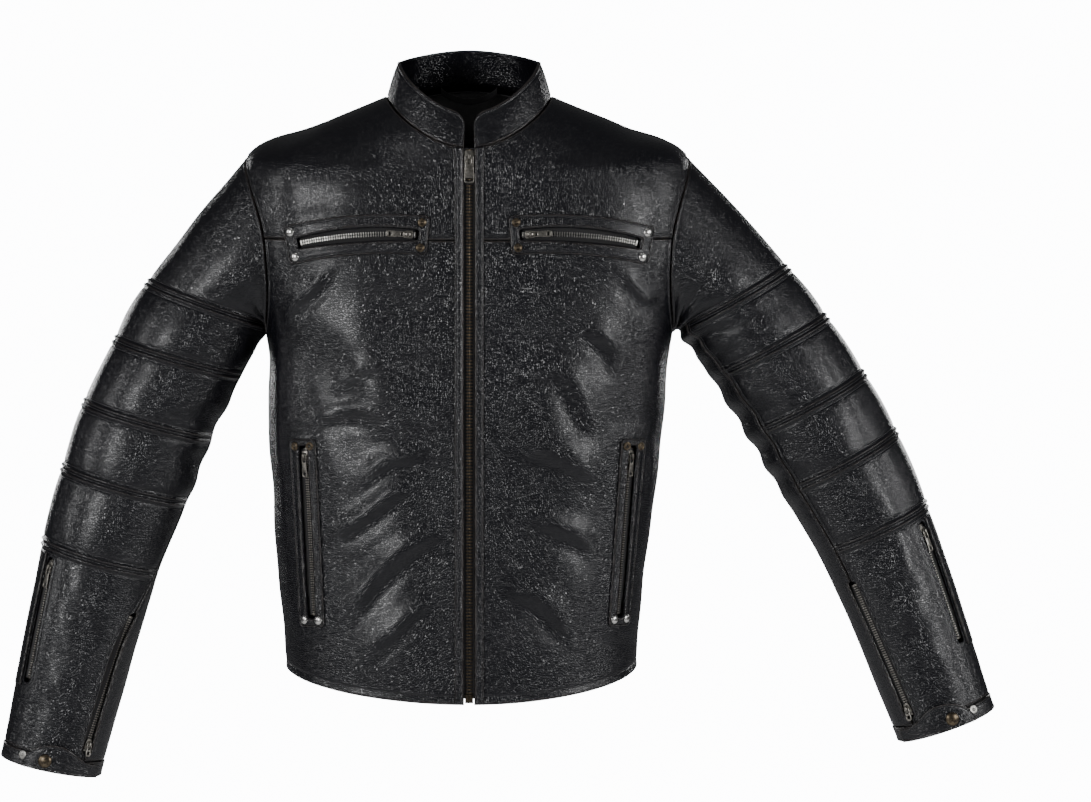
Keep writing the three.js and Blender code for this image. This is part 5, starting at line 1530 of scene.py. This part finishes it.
def posed(points, path, distance, lift=0.0, hang=0.0):
    """Points in a slider's own axes, put in place on its path. hang turns them about the pull's bar."""
    origin, x, y, z = path.at(np.array(float(distance)))
    across, along, up = np.array(points, float).T[..., None]
    c, s = math.cos(hang), math.sin(hang)
    return origin + across * x + (along * c + up * s) * y + (up * c - along * s + lift) * z


def build_slider(name, path, size, hang=0.0):
    parked = size["length"] / 2 + 1
    plates, bridge = slider_parts(size)
    pieces = []
    for points, faces in (*plates, bridge):
        pieces.append(bevelled(mesh_object("casting", posed(points, path, parked), faces, gunmetal), 0.28))
    body = name + "_slider"
    sewn(joined_mesh(name + "_slider_cast", pieces), "gunmetal", body, body=body)
    lift = size["thick"] + SLIP + size["plate"] + size["window"] / 2
    points, faces = pull_shape(size)
    tab = mesh_object(name + "_pull_tab", posed(points, path, parked, lift, hang), faces, gunmetal)
    body = name + "_pull"
    sewn(bevelled(tab, 0.3), "gunmetal", body, body=body)


CUFF_PULL_HANG = math.radians(165)
build_slider("main", MAIN, HEAVY)
for name in SIDES:
    build_slider(f"chest_{name}", CHEST[name], LIGHT)
    build_slider(f"hand_{name}", HAND[name], LIGHT)
    build_slider(f"vent_{name}", VENT[name], LIGHT)
    build_slider(f"cuff_{name}", CUFF[name], SHORT, CUFF_PULL_HANG)

BOX_START, BOX_LENGTH = MAIN.length + 0.4, 9
box_half, box_thick = 0.5 + HEAVY["tooth"] + 0.4, HEAVY["thick"] + 0.9
box_section = [(-box_half, -box_thick), (box_half, -box_thick), (box_half, box_thick), (-box_half, box_thick)]
box = swept(MAIN, (BOX_START, BOX_START + BOX_LENGTH), box_section)
sewn(bevelled(mesh_object("main_box_cast", *box, antique), 0.7, 3), "gunmetal", "main_box")

# ---- rivets ------------------------------------------------------------------------------------------------
# Four tubular rivets hold each pocket frame to a stay behind it. Those far from the slider are domed, and
# those by the slider are rolled rings with an open middle. Profiles are radius and height.
RIVET_INSET = 7.5
POST = [(1.6, 2.0), (1.5, -4), (0, -4)]
DOME = [(0, 4.3), (1.2, 4.24), (2.4, 3.98), (3.5, 3.5), (4.3, 2.85), (4.7, 2.3), (4.6, 2.0), *POST]
ROLL = [(1.3, 2.25), (1.7, 2.7), (2.1, 3.5), (2.9, 3.9), (3.8, 3.7), (4.5, 3.0), (4.7, 2.3), (4.5, 2.0)]
EYELET = [(0, 2.2), *ROLL, *POST]


def turned_profile(profile, sides=24):
    """Points and faces of a profile of radius and height turned about the z axis."""
    points = [(0, 0, profile[0][1])]
    inner = profile[1:-1]
    for r, h in inner:
        points += [(r * math.cos(t), r * math.sin(t), h) for t in np.linspace(0, TAU, sides, endpoint=False)]
    points.append((0, 0, profile[-1][1]))
    faces = [(0, 1 + i, 1 + (i + 1) % sides) for i in range(sides)]
    for k in range(len(inner) - 1):
        a, b = 1 + k * sides, 1 + (k + 1) * sides
        faces += [(a + i, b + i, b + (i + 1) % sides, a + (i + 1) % sides) for i in range(sides)]
    last = 1 + (len(inner) - 1) * sides
    faces += [(last + i, len(points) - 1, last + (i + 1) % sides) for i in range(sides)]
    return np.array(points), faces


def stood_on(points, place, normal):
    """Points whose z axis is turned to a normal, at a place."""
    normal = unit(normal)
    side = unit(np.cross(normal, (0.3, 0.2, 1.0)))
    return place + points[:, :1] * side + points[:, 1:2] * np.cross(normal, side) + points[:, 2:] * normal


def build_rivets(name, side, path, guess, size):
    across = size["half"] - RIVET_INSET
    past = size["margin"] - RIVET_INSET
    pieces = []
    for along, profile, plate in ((-past, EYELET, antique), (path.length + past, DOME, nickel)):
        pair = []
        for edge in (-across, across):
            origin, x, _, z = path.at(np.array(along))
            a, b = settle(form_point, origin + x * edge + z * size["recess"], guess[0], side * guess[1])
            points, faces = turned_profile(profile)
            place, normal = body_skin(a, b), normals_on(body_skin, 1, a, b)
            pair.append((stood_on(points, place, normal), faces))
        pieces.append(facing_out(mesh_object("rivets", *gathered(pair), plate)))
    sewn(joined_mesh(name + "_rivet_set", pieces), "nickel", name + "_rivets")


for name, side in SIDES.items():
    build_rivets("chest_" + name, side, CHEST[name], CHEST_GUESS, CHEST_FRAME)
    build_rivets("hand_" + name, side, HAND[name], HAND_GUESS, HAND_FRAME)

# ---- cuffs -------------------------------------------------------------------------------------------------
# Each sleeve ends in a turned band, open where the cuff zip comes down. A pointed strap is sewn at one side
# of the zip, crosses it and snaps on a stud, and a spare stud stands beyond for a looser fit.
BAND_PROUD, BAND_STITCH, BAND_SPLIT = 0.8, 3.2, 3.4 / 53
STRAP_ROOT, STRAP_WIDTH, STRAP_RAISE = 14, 29, 0.6
STRAP_TURNS = np.radians((-22, 45, 70))
STRAP_FACE, STRAP_BACK, STRAP_STITCH = 5, 3, 3.0
SNAP_SHARE, SNAP_RISE = 0.6, 11.5
STUD_SPACING = math.radians(28)
CAP_DOME = [(0, 8.0), (1.5, 7.95), (3.2, 7.7), (4.9, 7.2), (6.2, 6.5), (7.0, 5.8), (7.2, 5.3), (6.9, 5.05)]
CAP = [*CAP_DOME, (1.6, 5.05), (1.6, 2.4), (0, 2.4)]
STUD_NOSE, STUD_FLANGE = [(0, 2.6), (0.9, 2.5), (1.3, 2.1), (1.5, 1.7)], [(4.7, 0.9), (4.6, 0.5), (0, 0.5)]
STUD = [*STUD_NOSE, (2.4, 1.6), (3.6, 1.75), (4.5, 1.5), *STUD_FLANGE]


def strap_width(share):
    ease = np.clip((share - 0.15) / (SNAP_SHARE - 0.15), 0, 1)
    grown = STRAP_ROOT + (STRAP_WIDTH - STRAP_ROOT) * ease * ease * (3 - 2 * ease)
    point = STRAP_WIDTH * np.sqrt(np.clip(1 - (0.995 * (share - SNAP_SHARE) / (1 - SNAP_SHARE)) ** 2, 0, 1))
    return np.where(share < SNAP_SHARE, grown, point)


def build_cuff(sleeve):
    name, side = sleeve.name, sleeve.side
    skin = sleeve_skin(sleeve)
    seam_end = float(sleeve.seam(np.array(float(CUFF_END))))
    rows = rows_between(sleeve.point, CUFF_TOP + 0.02, CUFF_END, 0.7, 1.4, FINE[:8], FINE[:8])
    shares = spread(300, 2.6)[0]
    a, b = np.meshgrid(rows, seam_end + BAND_SPLIT + (TAU - 2 * BAND_SPLIT) * shares, indexing="ij")
    points, normals = skin(a, b), normals_on(skin, -side, a, b)
    distances = edge_distances(points)
    edge = np.minimum.reduce([rounded(d, 1.3) for d in distances])
    lift = BAND_PROUD + edge + swelling(distances[0], BAND_STITCH, 0.3, 0.55)
    lift = lift + swelling(distances[1], BAND_STITCH, 0.5, 0.55)
    top = points + normals * lift[..., None]
    # Tint mask by the edges: partly wear, partly a painted highlight along them.
    wear = mound(np.minimum.reduce(distances), 0.8, 1.0)
    band = thick_sheet(f"cuff_{name}_turned_band", top, points - normals * (LEATHER + edge[..., None]),
                       faces_in(top, normals), wear=wear)
    for k in (0, 1):
        stitch_at(name, top, normals, distances[k], BAND_STITCH, 0)

    # How far stations lie above the sleeve's end, for the studs' row and the strap.
    table = np.linspace(CUFF_TOP - 1, CUFF_END, 400)
    way = sleeve.point(table, sleeve.seam(table)) - sleeve.point(float(CUFF_END), np.array(seam_end))
    climb = np.linalg.norm(way, axis=-1)
    snap_station = float(np.interp(SNAP_RISE, climb[::-1], table[::-1]))
    root, stud, tip = seam_end + STRAP_TURNS

    def snap_spot(turn):
        turn = np.array(turn)
        return skin(snap_station, turn), normals_on(skin, -side, snap_station, turn)

    studs = []
    for turn in (stud, stud + STUD_SPACING):
        place, normal = snap_spot(turn)
        points, faces = turned_profile(STUD)
        studs.append((stood_on(points + (0, 0, BAND_PROUD - 0.6), place, normal), faces))
    snaps = facing_out(mesh_object("studs", *gathered(studs), dull_nickel))
    sewn(joined_mesh(f"cuff_{name}_band", [band, snaps]), "leather", f"cuff_band_{name}")

    lengthways = np.sin(spread(75, 1.3, (0, 0.6, 1.4), (0, 0.3, 0.8))[0] * math.pi / 2)
    upward = spread(STRAP_WIDTH, 1.3, FINE[:8], FINE[:8])[0]
    share, rise = np.meshgrid(lengthways, upward, indexing="ij")
    height = STRAP_RAISE + strap_width(share) * rise
    a = np.interp(height, climb[::-1], table[::-1])
    b = root + (tip - root) * share
    points, normals = skin(a, b), normals_on(skin, -side, a, b)
    distances = edge_distances(points)
    edge = np.minimum.reduce([rounded(d, 0.95) for d in distances])
    draw = sum(0.45 * mound(d, STRAP_STITCH, 0.7) for d in distances[1:])
    top = points + normals * (STRAP_FACE + edge - draw)[..., None]
    back = points + normals * (STRAP_BACK - edge)[..., None]
    # Tint mask by the edges: partly wear, partly a painted highlight along them.
    wear = mound(np.minimum.reduce(distances), 0.7, 0.9)
    strap = thick_sheet(f"cuff_{name}_strap_hide", top, back, faces_in(top, normals), wear=wear)
    body = f"cuff_strap_{name}"
    sewn(strap, "leather", body, body=body)
    lines = []
    for k, axis in ((1, 0), (2, 1), (3, 1)):
        stitch_at(name, top, normals, distances[k], STRAP_STITCH, axis)
        lines.append(STITCH_LINES[name].pop())
    STRAP_LINES[name] = lines
    points, faces = turned_profile(CAP, 40)
    points = stood_on(points, *snap_spot(stud))
    cap = facing_out(mesh_object(f"cuff_{name}_snap_cap", points, faces, antique))
    sewn(cap, "nickel", f"cuff_snap_{name}", body=body)


STRAP_LINES = {}
for sleeve in SLEEVES:
    build_cuff(sleeve)

# ---- lining and hanger loop --------------------------------------------------------------------------------
# A satin lining hangs inside the body and both sleeves, open at the neck, the hem and the cuffs. A short tape
# is sewn inside the back of the neck to hang the jacket by.
LINING_DEPTH, LINING_WALL, LINING_OVERLAP = 8.5, 1.0, 14
ARMHOLE_INSET = 8


def satin_finish(tree):
    folds = noise(tree, 38, 2)
    thread = node(tree, "ShaderNodeTexWave", {"wave_type": "BANDS", "bands_direction": "Z"},
                  {"Vector": placed_on(tree), "Scale": 700, "Distortion": 1.0})
    return {
        # The colour follows the folds' noise: painted shade in their hollows and a painted sheen on their
        # crests.
        "Base Color": mixed(tree, folds, (0.004, 0.004, 0.005, 1), (0.011, 0.011, 0.013, 1)),
        "Roughness": 0.42 + folds * 0.2,
        "Normal": bump(tree, thread * 0.15 + folds, 0.25, 0.001),
    }


satin = new_material("lining_satin", satin_finish)


def lining_sheet(name, surface, sign, a, b, depth, *nodes, cut_out=False):
    points, normals = surface(a, b), normals_on(surface, sign, a, b)
    top = points - normals * depth
    centres = (top[:-1] + top[1:]) / 2
    keep = armhole_reach(centres, -LINING_OVERLAP) >= 1 if cut_out else None
    inner = top - normals * LINING_WALL
    sewn(thick_sheet(name, top, inner, faces_in(top, normals), keep, True, material=satin), "lining", *nodes)


ring = np.linspace(0, TAU, 120, endpoint=False)
a, b = np.meshgrid(np.linspace(0.08, NECK - 0.06, 90), ring, indexing="ij")
lining_sheet("body_lining", form_point, 1, a, b, LINING_DEPTH, "lining", cut_out=True)
for sleeve in SLEEVES:
    a, b = np.meshgrid(np.linspace(0.15, CUFF_TOP, 70), ring[::2], indexing="ij")
    depth = (LINING_DEPTH + ARMHOLE_INSET * np.clip(2 - a, 0, 2))[..., None]
    lining_sheet(f"sleeve_lining_{sleeve.name}", sleeve.point, -sleeve.side, a, b, depth)

LOOP_HALF, LOOP_TOP, LOOP_DROP, LOOP_TAPE, LOOP_THICK = 30, -3, 12, 7, 1.2
loop_back = RINGS["rear"][NECK] - LINING_DEPTH - LINING_WALL - 4
share, down = np.meshgrid(np.linspace(0, 1, 40), np.linspace(0, 1, 7), indexing="ij")
drop = LOOP_DROP * np.sin(math.pi * share) ** 0.7
twist = 1.2 * np.sin(math.pi * share) * (down - 0.5)
tape_height = LOOP_TOP - drop - LOOP_TAPE * down
face = np.stack([LOOP_HALF * (2 * share - 1), loop_back - LOOP_THICK - twist, tape_height], -1)
normals = np.broadcast_to(np.array([0, -1.0, 0]), face.shape)
loop = thick_sheet("hanger_tape", face, face + (0, LOOP_THICK, 0), faces_in(face, normals), material=tape)
sewn(loop, "zip_tape", "hanger_loop")

# ---- topstitching ------------------------------------------------------------------------------------------
# Bonded black thread, seven stitches to the inch, lies in the leather along the seams, hems, frames and
# ridges. Each stitch is a short spindle.
STITCH_PITCH, STITCH_LONG, STITCH_THICK, STITCH_SIDES = 3.5, 2.7, 0.62, 6


def thread_finish(tree):
    twist = node(tree, "ShaderNodeTexWave", {"bands_direction": "DIAGONAL"},
                 {"Vector": placed_on(tree), "Scale": 900, "Distortion": 0.5})
    return {
        "Base Color": mixed(tree, twist, (0.010, 0.010, 0.011, 1), (0.045, 0.043, 0.044, 1)),
        "Roughness": 0.5 + twist * 0.15,
    }


thread = new_material("bonded_thread", thread_finish)
half = np.array((STITCH_THICK / 2, STITCH_LONG / 2, STITCH_THICK * 0.4))
around = [(math.cos(t), math.sin(t)) for t in np.linspace(0, TAU, STITCH_SIDES, endpoint=False)]
stitch_rings = ((-0.72, 0.75), (0.0, 1.0), (0.72, 0.75))
stitch_points = [(wide * x, reach, wide * z) for reach, wide in stitch_rings for x, z in around]
stitch_points = np.array([(0, -1, 0), *stitch_points, (0, 1, 0)])
stitch_faces = []
last_ring = 1 + 2 * STITCH_SIDES
for i in range(STITCH_SIDES):
    j = (i + 1) % STITCH_SIDES
    stitch_faces += [(0, 1 + i, 1 + j), (last_ring + i, last_ring + STITCH_SIDES, last_ring + j)]
    for a, b in ((1, 1 + STITCH_SIDES), (1 + STITCH_SIDES, last_ring)):
        stitch_faces.append((a + i, b + i, b + j, a + j))
stitch = facing_out(mesh_object("stitch", stitch_points * half, stitch_faces, thread))
for part, lines in STITCH_LINES.items():
    row = row_of(f"stitching_{part}", lines, stitch, STITCH_PITCH, thread)
    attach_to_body(row, "shell")
for part, lines in STRAP_LINES.items():
    row = row_of(f"stitching_strap_{part}", lines, stitch, STITCH_PITCH, thread)
    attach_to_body(row, f"cuff_strap_{part}")
bpy.data.objects.remove(stitch)
